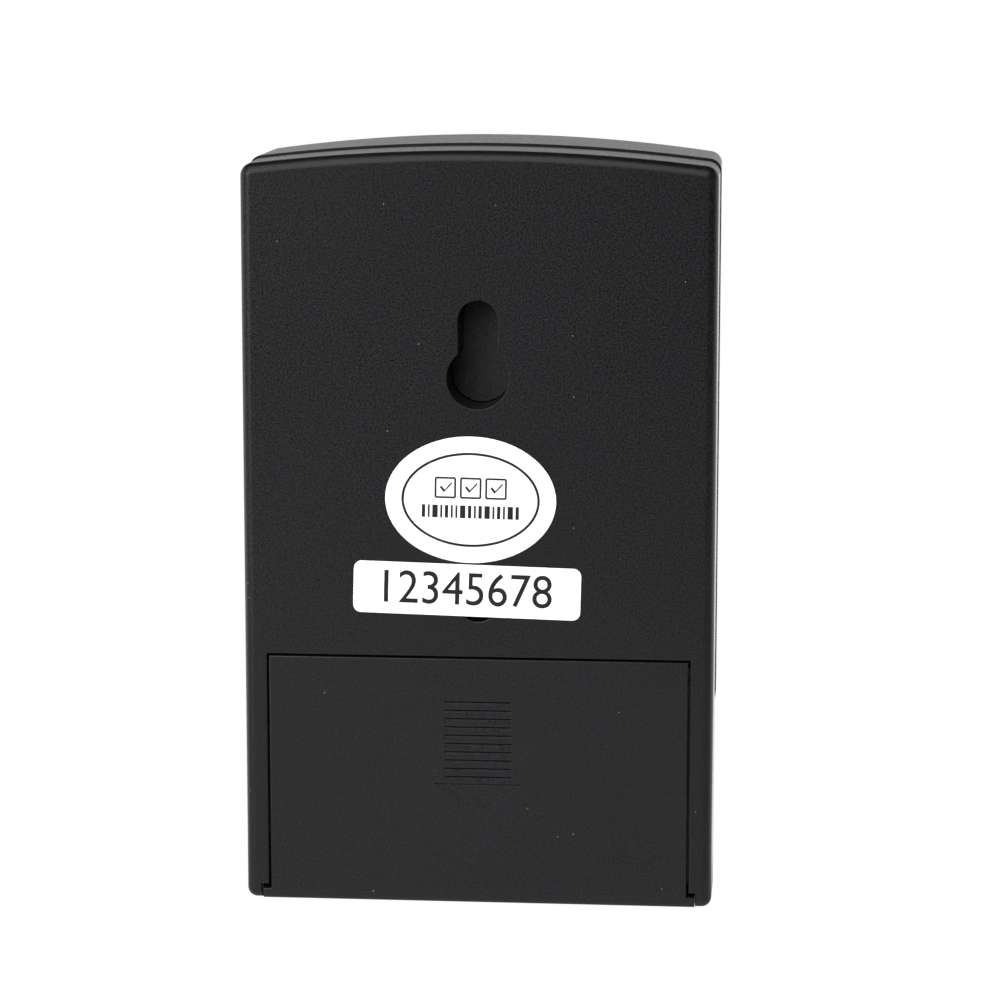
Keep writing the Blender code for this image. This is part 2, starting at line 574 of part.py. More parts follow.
def make_front_case():
    outer_start = REAR_DEPTH + GROOVE_WIDTH
    land = REAR_DEPTH + TOUCH_GAP
    tongue_outer = WALL + TOUCH_GAP
    tongue_inner = tongue_outer + TONGUE_THICKNESS
    tongue_start = REAR_DEPTH - TONGUE_LENGTH
    rings = []
    for i in range(5):
        angle = math.radians(90 * i / 4)
        rings.append(front_ring(CASE_DEPTH - FRONT_EDGE_RADIUS * (1 - math.cos(angle)),
                                FRONT_EDGE_RADIUS * (1 - math.sin(angle))))
    rings.append(front_ring(outer_start, 0.0))
    rings.append(rear_ring(outer_start, GROOVE_DEPTH))
    rings.append(rear_ring(land, GROOVE_DEPTH))
    rings.append(rear_ring(land, tongue_outer))
    rings.append(rear_ring(tongue_start, tongue_outer))
    rings.append(rear_ring(tongue_start, tongue_inner))
    rings.append(rear_ring(outer_start, tongue_inner))
    rings.append(front_ring(outer_start + TONGUE_THICKNESS + GROOVE_WIDTH, WALL))
    rings.append(front_ring(FRONT_WALL_DEPTH, WALL))
    mesh = bmesh.new()
    loft(mesh, rings)
    case = finish("front_case", mesh, at(0, CASE_DEPTH, 0), BLACK, 0.5)

    foot = bmesh.new()
    clear_half = HALF_WIDTH - WALL - TONGUE_CLEARANCE
    clear_end = outer_start + 2 * GROOVE_WIDTH + TONGUE_THICKNESS
    add_box(foot, (-clear_half, clear_half), (tongue_start - WALL, clear_end),
            (WALL + TONGUE_CLEARANCE / 2, BAY_BOTTOM + WALL))
    cut(case, foot)
    embed = FRONT_WALL_DEPTH + WALL / 4
    posts = bmesh.new()
    post_start = BAY_FLOOR_DEPTH - CENTRE_SCREW_SIZE[1] + TOUCH_GAP
    add_turned(posts, 0, SCREW_Z, ((post_start, CENTRE_POST_RADIUS), (embed, CENTRE_POST_RADIUS)))
    for x, z in SCREW_POSTS:
        add_turned(posts, x, z, ((BAY_END_DEPTH + TOUCH_GAP, BAY_POST_RADIUS), (embed, BAY_POST_RADIUS)))
    for _, x, z in BOARD_SCREWS:
        add_turned(posts, x, z, ((BOARD_FRONT_DEPTH + TOUCH_GAP, BOARD_POST_RADIUS),
                                 (embed, BOARD_POST_RADIUS)), 16)
    join(case, posts)
    pilots = bmesh.new()
    screw = CENTRE_SCREW_SIZE
    add_turned(pilots, 0, SCREW_Z, ((post_start - WALL, screw[2] + SCREW_BORE_GAP),
                                    (post_start + screw[3], screw[2] + SCREW_BORE_GAP)), 16)
    screw = BAY_SCREW_SIZE
    for x, z in SCREW_POSTS:
        add_turned(pilots, x, z, ((BAY_END_DEPTH - WALL, screw[2] + SCREW_BORE_GAP),
                                  (BAY_END_DEPTH + screw[3], screw[2] + SCREW_BORE_GAP)), 12)
    screw = BOARD_SCREW_SIZE
    for _, x, z in BOARD_SCREWS:
        add_turned(pilots, x, z, ((BOARD_FRONT_DEPTH - WALL, screw[2] + SCREW_BORE_GAP),
                                  (BOARD_DEPTH + screw[3], screw[2] + SCREW_BORE_GAP)), 12)
    cut(case, pilots)
    recess = bmesh.new()
    add_prism(recess, rounded_rectangle(0, LENS_Z, LENS_WIDTH + 2 * TOUCH_GAP, LENS_HEIGHT + 2 * TOUCH_GAP,
                                        LENS_CORNER + TOUCH_GAP),
              (CASE_DEPTH - LENS_THICKNESS - TOUCH_GAP, CASE_DEPTH + WALL))
    cut(case, recess)
    holes = bmesh.new()
    add_prism(holes, rounded_rectangle(0, LENS_Z, LENS_WIDTH - 2 * LENS_LEDGE, LENS_HEIGHT - 2 * LENS_LEDGE,
                                       LENS_CORNER - LENS_LEDGE / 2),
              (FRONT_WALL_DEPTH - WALL / 2, CASE_DEPTH + WALL))
    for _, x, z, width, height in BUTTONS:
        add_prism(holes, rounded_rectangle(x, z, width + 2 * BUTTON_GAP, height + 2 * BUTTON_GAP,
                                           height / 2 + BUTTON_GAP - ROUND_END),
                  (FRONT_WALL_DEPTH - WALL / 2, CASE_DEPTH + WALL))
    for i in range(SLOT_COUNT):
        offset = (i - (SLOT_COUNT - 1) / 2) * SLOT_PITCH
        reach = math.sqrt((SOUNDER_RADIUS + SLOT_WIDTH / 2) ** 2 - offset ** 2)
        add_prism(holes, rounded_rectangle(0, SOUNDER_Z + offset, 2 * reach, SLOT_WIDTH,
                                           SLOT_WIDTH / 2 - ROUND_END, 3),
                  (FRONT_WALL_DEPTH - WALL / 2, CASE_DEPTH + WALL))
    add_turned(holes, LAMP_X, LAMP_Z, ((FRONT_WALL_DEPTH - WALL / 2, PIPE_RADIUS + TOUCH_GAP),
                                       (CASE_DEPTH + WALL, PIPE_RADIUS + TOUCH_GAP)), 16)
    cut(case, holes)


def make_battery_door():
    mesh = bmesh.new()
    outline = [(-FLANGE_HALF_WIDTH, 0), (FLANGE_HALF_WIDTH, 0), (FLANGE_HALF_WIDTH, FLANGE_THICKNESS),
               (DOOR_HALF_WIDTH, FLANGE_THICKNESS), (DOOR_HALF_WIDTH, DOOR_TOP),
               (-DOOR_HALF_WIDTH, DOOR_TOP), (-DOOR_HALF_WIDTH, FLANGE_THICKNESS),
               (-FLANGE_HALF_WIDTH, FLANGE_THICKNESS)]
    add_prism(mesh, outline, (0, DOOR_THICKNESS))
    back = REAR_Y - NEAR
    foot_edges = [edge for edge in mesh.edges
                  if all(v.co.y > back and v.co.z < NEAR for v in edge.verts)]
    bmesh.ops.bevel(mesh, geom=foot_edges, offset=DOOR_FOOT_RADIUS, segments=4, profile=0.5, affect="EDGES")
    door = finish("battery_door", mesh, at(0, 0, 0), BLACK, 0.5)
    foot = bmesh.new()
    add_box(foot, (-FLANGE_HALF_WIDTH, FLANGE_HALF_WIDTH), (DOOR_THICKNESS / 2, REAR_DEPTH - TOUCH_GAP),
            (0, FLANGE_THICKNESS))
    join(door, foot)
    z_range = (BAY_BOTTOM - BAY_WALL / 2, DOOR_TOP - DOOR_END_GAP)
    ribs = bmesh.new()
    both_sides(ribs, (DOOR_HALF_WIDTH - RIB_THICKNESS, DOOR_HALF_WIDTH),
               (DOOR_THICKNESS / 2, WALL + SLIDE_GAP + WING_THICKNESS), z_range)
    join(door, ribs)
    wings = bmesh.new()
    both_sides(wings, (DOOR_HALF_WIDTH - RIB_THICKNESS / 2, DOOR_HALF_WIDTH + WING_REACH),
               (WALL + SLIDE_GAP, WALL + SLIDE_GAP + WING_THICKNESS * 0.99), z_range)
    join(door, wings)

    grips = bmesh.new()
    first = DOOR_TOP - GRIP_BELOW_DOOR_TOP
    for i in range(GRIP_COUNT):
        z = first - i * GRIP_PITCH
        profile = ((GRIP_DEPTH, z), (-GRIP_DEPTH, z), (-GRIP_DEPTH, z - 2 * GRIP_RAMP))
        loft(grips, [[at(x, depth, height) for depth, height in profile]
                     for x in (-GRIP_WIDTH / 2, GRIP_WIDTH / 2)])
    base = first - (GRIP_COUNT - 1) * GRIP_PITCH - ARROW_BELOW_GRIP
    tip = base - ARROW_LENGTH
    half = ARROW_WIDTH / 2
    left_deep, right_deep, left_out, right_out, tip_in, tip_out = [
        grips.verts.new(at(x, depth, z)) for x, depth, z in (
            (-half, ARROW_DEPTH, base), (half, ARROW_DEPTH, base), (-half, -ARROW_DEPTH, base),
            (half, -ARROW_DEPTH, base), (0, -2 * NEAR, tip), (0, -ARROW_DEPTH, tip))]
    grips.faces.new((left_deep, right_deep, tip_in))
    grips.faces.new((right_out, left_out, tip_out))
    grips.faces.new((left_deep, left_out, right_out, right_deep))
    grips.faces.new((left_deep, tip_in, tip_out, left_out))
    grips.faces.new((right_deep, right_out, tip_out, tip_in))
    cut(door, grips)

    pad = bmesh.new()
    pad_z = (LOWER_CELL_Z + UPPER_CELL_Z) / 2
    add_prism(pad, rounded_rectangle(0, pad_z, PAD_WIDTH, PAD_HEIGHT, PAD_CORNER, 3),
              (PAD_DEPTH, PAD_DEPTH + PAD_THICKNESS))
    finish("door_foam_pad", pad, at(0, PAD_DEPTH, pad_z), DARK, 0.95)


def contact_x():
    return BAY_HALF_WIDTH - TOUCH_GAP - CONTACT_THICKNESS


def contact_tab_depths():
    """Depths where the two supply contacts' tabs leave the bay: upper cell, lower cell."""
    start = CELL_DEPTH - CONTACT_WIDTH / 2
    return start + CONTACT_WIDTH - TAB_WIDTH, start - TAB_WIDTH - 2 * TOUCH_GAP


def make_cell(name, z, side):
    """A round cell lying along X whose positive end points to the given side."""
    plus = side * (contact_x() - TOUCH_GAP)
    mesh = bmesh.new()
    edge = CELL_EDGE
    body_end = plus - side * CELL_NUB_LENGTH
    minus = plus - side * CELL_LENGTH
    steps = [(plus, CELL_NUB_RADIUS), (body_end, CELL_NUB_RADIUS), (body_end, CELL_RADIUS - edge),
             (body_end - side * edge, CELL_RADIUS), (minus + side * edge, CELL_RADIUS),
             (minus, CELL_RADIUS - edge)]
    add_turned_along_x(mesh, CELL_DEPTH, z, steps, 28)
    finish(name, mesh, at(minus, CELL_DEPTH, z), (0.05, 0.22, 0.08), 0.35, 0.3)
    return minus


def make_spring(name, z, cell_end, side):
    """A cone spring from the contact plate on the given side to a cell's flat end."""
    base_x = side * (contact_x() - TOUCH_GAP - SPRING_WIRE_RADIUS)
    tip_x = cell_end + side * (TOUCH_GAP + SPRING_WIRE_RADIUS)
    per_turn = 14
    count = SPRING_TURNS * per_turn
    data = bpy.data.curves.new(name, "CURVE")
    data.dimensions = "3D"
    data.bevel_depth = SPRING_WIRE_RADIUS
    data.bevel_resolution = 1
    data.use_fill_caps = True
    spline = data.splines.new("POLY")
    spline.points.add(count)
    for i in range(count + 1):
        share = i / count
        angle = 2 * math.pi * i / per_turn
        radius = SPRING_BASE_RADIUS + (SPRING_TIP_RADIUS - SPRING_BASE_RADIUS) * share
        x = (tip_x - base_x) * share
        spline.points[i].co = (x, -radius * math.cos(angle), radius * math.sin(angle), 1.0)
    data.materials.append(plastic(name + "_finish", STEEL, 0.25, 1.0))
    spring = bpy.data.objects.new(name, data)
    spring.location = at(base_x, CELL_DEPTH, z)
    bpy.context.scene.collection.objects.link(spring)


def make_contacts():
    x = contact_x()
    start = CELL_DEPTH - CONTACT_WIDTH / 2
    half = CELL_RADIUS - CONTACT_MARGIN
    tab_top = BAY_TOP + BAY_WALL + TAB_PROUD
    depths = contact_tab_depths()
    plates = (("positive_contact", UPPER_CELL_Z, depths[0]), ("negative_contact", LOWER_CELL_Z, depths[1]))
    for name, z, tab in plates:
        low, high = sorted((start, start + CONTACT_WIDTH))
        side = [(low, z - half), (high, z - half), (high, z + half)]
        if tab > low:
            side += [(tab + TAB_WIDTH - TAB_TAPER, z + half), (tab + TAB_WIDTH - TAB_TAPER, tab_top),
                     (tab, tab_top), (tab, z + half), (low, z + half)]
        else:
            side += [(low, z + half), (tab + TAB_WIDTH, z + half), (tab + TAB_WIDTH, tab_top),
                     (tab, tab_top), (tab, z + half - TAB_NECK), (low, z + half - TAB_NECK)]
        mesh = bmesh.new()
        loft(mesh, [[at(place, depth, height) for depth, height in side]
                    for place in (x, x + CONTACT_THICKNESS)])
        finish(name, mesh, at(x, CELL_DEPTH, z), STEEL, 0.3, 1.0)
    bridge = bmesh.new()
    add_box(bridge, (-x - CONTACT_THICKNESS, -x), (start, start + CONTACT_WIDTH),
            (LOWER_CELL_Z - half, UPPER_CELL_Z + half))
    finish("bridge_contact", bridge, at(-x, CELL_DEPTH, (LOWER_CELL_Z + UPPER_CELL_Z) / 2), STEEL, 0.3, 1.0)
    for name, tab, colour, reach in (("red_lead", depths[0], RED, RED_LEAD_REACH),
                                     ("black_lead", depths[1], DARK, BLACK_LEAD_REACH)):
        data = bpy.data.curves.new(name, "CURVE")
        data.dimensions = "3D"
        data.bevel_depth = LEAD_RADIUS
        data.bevel_resolution = 2
        data.use_fill_caps = True
        begin = at(x, tab + TAB_WIDTH / 2, tab_top + TOUCH_GAP + LEAD_RADIUS)
        end = at(x - reach, BOARD_DEPTH - TOUCH_GAP, tab_top + LEAD_RISE)
        up = Vector((0, 0, LEAD_START_PULL))
        back = Vector((0, LEAD_END_PULL, 0))
        handles = (begin, begin + up, end + back, end)
        spline = data.splines.new("POLY")
        spline.points.add(LEAD_POINTS)
        for i in range(LEAD_POINTS + 1):
            t = i / LEAD_POINTS
            weights = ((1 - t) ** 3, 3 * t * (1 - t) ** 2, 3 * t * t * (1 - t), t ** 3)
            point = Vector((0, 0, 0))
            for weight, handle in zip(weights, handles):
                point += weight * handle
            spline.points[i].co = (*(point - begin), 1.0)
        data.materials.append(plastic(name + "_finish", colour, 0.5))
        lead = bpy.data.objects.new(name, data)
        lead.location = begin
        bpy.context.scene.collection.objects.link(lead)


def make_screw(name, x, z, head_depth, size, segments=20):
    """A pan-head screw whose head faces the back and ends at head_depth."""
    head, height, shank, length = size
    mesh = bmesh.new()
    steps = ((head_depth, head * 0.6), (head_depth + height * 0.35, head * 0.93),
             (head_depth + height * 0.75, head), (head_depth + height, head), (head_depth + height, shank),
             (head_depth + height + length * 0.85, shank), (head_depth + height + length, shank * 0.3))
    add_turned(mesh, x, z, steps, segments)
    screw = finish(name, mesh, at(x, head_depth + height, z), STEEL, 0.3, 1.0)
    recess = bmesh.new()
    arm = head * DRIVE_RADIUS
    slot = head * 0.12
    plus = [(slot, arm), (slot, slot), (arm, slot)]
    outline = []
    for turn in range(4):
        for px, pz in reversed(plus):
            for _ in range(turn):
                px, pz = -pz, px
            outline.append((x + px, z + pz))
    add_prism(recess, outline, (head_depth - height, head_depth + height * 0.6))
    cut(screw, recess)


def make_labels():
    for name, outline, x, z in (("oval_label", oval_outline(), OVAL_OFFSET, OVAL_Z),
                                ("serial_label", serial_outline(), SERIAL_OFFSET, SERIAL_Z)):
        mesh = bmesh.new()
        add_prism(mesh, outline, (0, LABEL_THICKNESS))
        finish(name, mesh, at(x, 0, z), WHITE, 0.4)


def make_display():
    lens = bmesh.new()
    add_prism(lens, rounded_rectangle(0, LENS_Z, LENS_WIDTH, LENS_HEIGHT, LENS_CORNER),
              (CASE_DEPTH - LENS_THICKNESS, CASE_DEPTH))
    finish("display_lens", lens, at(0, CASE_DEPTH, LENS_Z), (0.03, 0.035, 0.04), 0.08)
    glass = bmesh.new()
    glass_range = (GLASS_DEPTH, GLASS_DEPTH + GLASS_THICKNESS)
    add_box(glass, (-GLASS_WIDTH / 2, GLASS_WIDTH / 2), glass_range,
            (LENS_Z - GLASS_HEIGHT / 2, LENS_Z + GLASS_HEIGHT / 2))
    finish("display_glass", glass, at(0, GLASS_DEPTH, LENS_Z), (0.35, 0.4, 0.33), 0.15)
    frame_depths = (BOARD_FRONT_DEPTH + TOUCH_GAP, GLASS_DEPTH - TOUCH_GAP)
    frame = bmesh.new()
    add_box(frame, (-GLASS_WIDTH / 2, GLASS_WIDTH / 2), frame_depths,
            (LENS_Z - GLASS_HEIGHT / 2, LENS_Z + GLASS_HEIGHT / 2))
    holder = finish("display_frame", frame, at(0, BOARD_FRONT_DEPTH, LENS_Z), (0.7, 0.7, 0.68), 0.6)
    strip_low = GLASS_HEIGHT / 2 - FRAME_RIM - ZEBRA_DEPTH - 2 * TOUCH_GAP
    window = bmesh.new()
    add_box(window, (-GLASS_WIDTH / 2 + 2 * FRAME_RIM, GLASS_WIDTH / 2 - 2 * FRAME_RIM),
            (frame_depths[0] - WALL, frame_depths[1] + WALL),
            (LENS_Z - strip_low + FRAME_RIM, LENS_Z + strip_low - FRAME_RIM))
    slots_half = GLASS_WIDTH / 2 - 2 * FRAME_RIM
    for side in (-1, 1):
        z_pair = sorted((LENS_Z + side * strip_low, LENS_Z + side * (GLASS_HEIGHT / 2 - FRAME_RIM)))
        add_box(window, (-slots_half, slots_half), (frame_depths[0] - WALL, frame_depths[1] + WALL), z_pair)
    cut(holder, window)
    for name, side in (("lower_zebra_strip", -1), ("upper_zebra_strip", 1)):
        strip = bmesh.new()
        z_pair = sorted((LENS_Z + side * (strip_low + TOUCH_GAP),
                         LENS_Z + side * (strip_low + TOUCH_GAP + ZEBRA_DEPTH)))
        add_box(strip, (-slots_half + TOUCH_GAP, slots_half - TOUCH_GAP), frame_depths, z_pair)
        finish(name, strip, at(0, BOARD_FRONT_DEPTH, z_pair[0]), (0.3, 0.28, 0.27), 0.8)
    light = bmesh.new()
    add_box(light, (-slots_half + TOUCH_GAP, slots_half - TOUCH_GAP),
            (frame_depths[0], frame_depths[0] + LIGHT_THICKNESS),
            (LENS_Z - strip_low + FRAME_RIM + TOUCH_GAP, LENS_Z + strip_low - FRAME_RIM - TOUCH_GAP))
    finish("display_backlight", light, at(0, BOARD_FRONT_DEPTH, LENS_Z), WHITE, 0.6)


def make_buttons():
    flange_start = FRONT_WALL_DEPTH - 2 * TOUCH_GAP - BUTTON_FLANGE_THICKNESS
    switch_start = BOARD_FRONT_DEPTH + TOUCH_GAP
    switch_end = switch_start + SWITCH_HEIGHT
    plunger_end = flange_start - TOUCH_GAP
    plunger_start = switch_end - PLUNGER_PROUD
    for name, x, z, width, height in BUTTONS:
        steps = ((flange_start, BUTTON_FLANGE), (flange_start + BUTTON_FLANGE_THICKNESS, BUTTON_FLANGE),
                 (flange_start + BUTTON_FLANGE_THICKNESS, 0.0), (CASE_DEPTH + BUTTON_PROUD - BUTTON_EDGE, 0.0),
                 (CASE_DEPTH + BUTTON_PROUD - BUTTON_EDGE * 0.3, -BUTTON_EDGE * 0.3),
                 (CASE_DEPTH + BUTTON_PROUD, -BUTTON_EDGE))
        cap = bmesh.new()
        loft(cap, [[at(px, depth, pz) for px, pz in
                    rounded_rectangle(x, z, width + 2 * grow, height + 2 * grow,
                                      height / 2 + grow - ROUND_END)] for depth, grow in steps])
        origin = at(x, CASE_DEPTH + BUTTON_PROUD, z)
        finish(f"{name}_button", cap, origin, (0.09, 0.09, 0.1), 0.5)
        switch = bmesh.new()
        add_box(switch, (x - SWITCH_SIZE / 2, x + SWITCH_SIZE / 2), (switch_start, switch_end),
                (z - SWITCH_SIZE / 2, z + SWITCH_SIZE / 2))
        body = finish(f"{name}_switch", switch, at(x, switch_start, z), DARK, 0.5)
        well = bmesh.new()
        well_start = plunger_start - BUTTON_TRAVEL - TOUCH_GAP
        add_turned(well, x, z, ((well_start, PLUNGER_RADIUS + TOUCH_GAP),
                                (switch_end + WALL, PLUNGER_RADIUS + TOUCH_GAP)), 20)
        cut(body, well)
        plunger = bmesh.new()
        add_turned(plunger, x, z, ((plunger_start, PLUNGER_RADIUS), (plunger_end, PLUNGER_RADIUS)), 20)
        finish(f"{name}_plunger", plunger, at(x, plunger_end, z), (0.6, 0.55, 0.4), 0.5)


def make_board():
    board = bmesh.new()
    add_prism(board, rounded_rectangle(0, (BOARD_TOP + BOARD_BOTTOM) / 2, 2 * BOARD_HALF_WIDTH,
                                       BOARD_TOP - BOARD_BOTTOM, BOARD_CORNER, 3),
              (BOARD_DEPTH, BOARD_FRONT_DEPTH))
    plate = finish("main_board", board, at(0, BOARD_DEPTH, BOARD_BOTTOM), GREEN, 0.4)
    holes = bmesh.new()
    through = (BOARD_DEPTH - WALL, BOARD_FRONT_DEPTH + WALL)
    add_turned(holes, 0, SCREW_Z, [(depth, CENTRE_POST_RADIUS + POST_CLEARANCE) for depth in through])
    for x, z in SCREW_POSTS:
        add_turned(holes, x, z, [(depth, BAY_POST_RADIUS + POST_CLEARANCE) for depth in through])
    for _, x, z in BOARD_SCREWS:
        add_turned(holes, x, z, [(depth, BOARD_SCREW_SIZE[2] + SCREW_BORE_GAP) for depth in through], 12)
    cut(plate, holes)
    for name, x, z in BOARD_SCREWS:
        make_screw(f"board_screw_{name}", x, z, BOARD_DEPTH - TOUCH_GAP - BOARD_SCREW_SIZE[1],
                   BOARD_SCREW_SIZE, 16)
    back = BOARD_DEPTH - TOUCH_GAP
    middle = (KEY_Z - KEY_ENTRY_RADIUS + SCREW_Z) / 2
    parts = (("hv_transformer", (TRANSFORMER_X, 0.0), TRANSFORMER_SIZE, (0.06, 0.05, 0.05), 0.5),
             ("hv_capacitor", HV_CAPACITOR_PLACE, HV_CAPACITOR_SIZE, (0.35, 0.05, 0.03), 0.4),
             ("processor_chip", CHIP_PLACE, CHIP_SIZE, DARK, 0.5),
             ("clock_crystal", CRYSTAL_PLACE, CRYSTAL_SIZE, STEEL, 0.3))
    for name, (x, rise), (width, height, thickness), colour, roughness in parts:
        mesh = bmesh.new()
        corner = PART_CORNER if name != "clock_crystal" else width / 2 - ROUND_END
        add_prism(mesh, rounded_rectangle(x, middle + rise, width, height, corner, 3), (back - thickness, back))
        finish(name, mesh, at(x, back, middle + rise), colour, roughness)
    filter_x = FILTER_PLACE[0]
    filter_z = middle + FILTER_PLACE[1]
    neck = FILTER_RADIUS - FILTER_CRIMP
    can = bmesh.new()
    add_turned(can, filter_x, filter_z, ((back - FILTER_HEIGHT, neck),
                                         (back - FILTER_HEIGHT + FILTER_CRIMP, FILTER_RADIUS),
                                         (back - FILTER_CRIMP_HEIGHT - FILTER_CRIMP, FILTER_RADIUS),
                                         (back - FILTER_CRIMP_HEIGHT, neck),
                                         (back - FILTER_CRIMP_HEIGHT + FILTER_CRIMP, FILTER_RADIUS),
                                         (back, FILTER_RADIUS)))
    finish("filter_capacitor", can, at(filter_x, back, filter_z), STEEL, 0.3, 0.8)


def make_tube():
    half = TUBE_GLASS_LENGTH / 2
    glass = bmesh.new()
    end_radius = TUBE_RADIUS - TUBE_EDGE
    add_turned_along_x(glass, TUBE_DEPTH, TUBE_Z, ((-half, end_radius), (TUBE_EDGE - half, TUBE_RADIUS),
                                                   (half - TUBE_EDGE, TUBE_RADIUS), (half, end_radius)))
    finish("counting_tube", glass, at(0, TUBE_DEPTH, TUBE_Z), (0.25, 0.2, 0.15), 0.1)
    cap_radius = TUBE_RADIUS + TUBE_CAP_WALL
    for name, side in (("left", -1), ("right", 1)):
        start = side * (half + TOUCH_GAP)
        end = start + side * TUBE_CAP_LENGTH
        cap = bmesh.new()
        add_turned_along_x(cap, TUBE_DEPTH, TUBE_Z, ((start, cap_radius), (end, cap_radius),
                                                     (end, TUBE_PIN_RADIUS),
                                                     (end + side * TUBE_PIN_LENGTH, TUBE_PIN_RADIUS)))
        finish(f"tube_cap_{name}", cap, at(start, TUBE_DEPTH, TUBE_Z), STEEL, 0.25, 1.0)
        inner = cap_radius + TOUCH_GAP
        outer = inner + CLIP_THICKNESS
        clip = bmesh.new()
        angles = [CLIP_OPENING + (2 * math.pi - 2 * CLIP_OPENING) * i / 16 for i in range(17)]
        profile = [(TUBE_DEPTH - inner * math.cos(a), TUBE_Z + inner * math.sin(a)) for a in angles]
        profile += [(TUBE_DEPTH - outer * math.cos(a), TUBE_Z + outer * math.sin(a)) for a in reversed(angles)]
        middle_x = (start + end) / 2
        width = (middle_x - CLIP_WIDTH / 2, middle_x + CLIP_WIDTH / 2)
        loft(clip, [[at(x, depth, z) for depth, z in profile] for x in width])
        holder = finish(f"tube_clip_{name}", clip, at(middle_x, TUBE_DEPTH, TUBE_Z), STEEL, 0.3, 1.0)
        stem = bmesh.new()
        add_box(stem, (width[0] + STEM_MARGIN, width[1] - STEM_MARGIN),
                (TUBE_DEPTH + inner + CLIP_THICKNESS / 2, BOARD_DEPTH - TOUCH_GAP),
                (TUBE_Z - CLIP_STEM_HEIGHT / 2, TUBE_Z + CLIP_STEM_HEIGHT / 2))
        join(holder, stem)


def make_sounder_and_lamp():
    start = BOARD_FRONT_DEPTH + TOUCH_GAP
    can = bmesh.new()
    add_turned(can, 0, SOUNDER_Z, ((start, SOUNDER_RADIUS), (start + SOUNDER_HEIGHT, SOUNDER_RADIUS),
                                   (start + SOUNDER_HEIGHT, SOUND_PORT_RADIUS),
                                   (start + SOUNDER_HEIGHT - SOUND_PORT_DEPTH, SOUND_PORT_RADIUS)), 28)
    finish("sounder", can, at(0, start, SOUNDER_Z), DARK, 0.5)
    lamp = bmesh.new()
    lamp_width, lamp_depth, lamp_height = LAMP_SIZE
    add_box(lamp, (LAMP_X - lamp_width / 2, LAMP_X + lamp_width / 2), (start, start + lamp_depth),
            (LAMP_Z - lamp_height / 2, LAMP_Z + lamp_height / 2))
    finish("count_lamp", lamp, at(LAMP_X, start, LAMP_Z), (0.9, 0.8, 0.5), 0.4)
    pipe_back = start + lamp_depth + TOUCH_GAP
    shoulder = FRONT_WALL_DEPTH - TOUCH_GAP
    pipe = bmesh.new()
    add_turned(pipe, LAMP_X, LAMP_Z, ((pipe_back, PIPE_RADIUS), (shoulder - PIPE_SHOULDER, PIPE_RADIUS),
                                      (shoulder - PIPE_SHOULDER, PIPE_RADIUS + PIPE_FLANGE),
                                      (shoulder, PIPE_RADIUS + PIPE_FLANGE), (shoulder, PIPE_RADIUS),
                                      (CASE_DEPTH, PIPE_RADIUS), (CASE_DEPTH + PIPE_DOME, PIPE_RADIUS * 0.6)), 16)
    finish("lamp_light_pipe", pipe, at(LAMP_X, CASE_DEPTH, LAMP_Z), (0.7, 0.1, 0.08), 0.15)


make_rear_case()
make_front_case()
make_battery_door()
upper_end = make_cell("upper_cell", UPPER_CELL_Z, 1)
lower_end = make_cell("lower_cell", LOWER_CELL_Z, -1)
make_spring("upper_cell_spring", UPPER_CELL_Z, upper_end, -1)
make_spring("lower_cell_spring", LOWER_CELL_Z, lower_end, 1)
make_contacts()
make_screw("case_screw_centre", 0.0, SCREW_Z,
           BAY_FLOOR_DEPTH - CENTRE_SCREW_SIZE[1] - WALL - TOUCH_GAP - CENTRE_SCREW_SIZE[1], CENTRE_SCREW_SIZE)
for screw_name, (screw_x, screw_z) in zip(("left", "right"), SCREW_POSTS):
    make_screw(f"case_screw_{screw_name}", screw_x, screw_z,
               BAY_FLOOR_DEPTH - TOUCH_GAP - BAY_SCREW_SIZE[1], BAY_SCREW_SIZE, 16)
make_labels()
make_display()
make_buttons()
make_board()
make_tube()
make_sounder_and_lamp()
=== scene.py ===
import math

import bmesh
import bpy
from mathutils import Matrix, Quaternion, Vector


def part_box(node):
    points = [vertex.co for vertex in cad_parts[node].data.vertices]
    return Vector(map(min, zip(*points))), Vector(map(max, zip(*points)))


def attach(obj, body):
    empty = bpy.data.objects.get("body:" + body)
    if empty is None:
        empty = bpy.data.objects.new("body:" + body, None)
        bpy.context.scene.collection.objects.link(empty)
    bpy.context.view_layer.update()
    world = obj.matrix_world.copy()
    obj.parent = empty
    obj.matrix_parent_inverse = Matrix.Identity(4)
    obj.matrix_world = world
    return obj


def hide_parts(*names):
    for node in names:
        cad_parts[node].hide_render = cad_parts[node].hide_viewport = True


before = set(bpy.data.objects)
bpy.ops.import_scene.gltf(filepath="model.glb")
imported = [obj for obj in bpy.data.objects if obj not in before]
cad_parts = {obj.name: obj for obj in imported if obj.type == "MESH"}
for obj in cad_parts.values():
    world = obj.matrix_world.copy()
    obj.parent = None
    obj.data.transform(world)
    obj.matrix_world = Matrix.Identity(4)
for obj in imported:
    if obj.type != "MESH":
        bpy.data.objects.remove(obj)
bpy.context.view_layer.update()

mm = 0.001
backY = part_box("battery_door")[1].y  # the flat back; depths below are measured from it towards the front
scene = bpy.context.scene
print("frame loaded")


# sizes below are in millimetres, and this turns a place in them into the frame's metres
def at(x, depth, z):
    return Vector((x * mm, backY - depth * mm, z * mm))


# centre x, middle depth and middle z of a CAD node, in millimetres
def middleOf(node):
    low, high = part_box(node)
    centre = (low + high) / 2
    return centre.x / mm, (backY - centre.y) / mm, centre.z / mm


def toLinear(hexColour):
    shares = [int(hexColour[i:i + 2], 16) / 255 for i in (1, 3, 5)]
    return (*[s / 12.92 if s <= 0.04045 else ((s + 0.055) / 1.055) ** 2.4 for s in shares], 1.0)


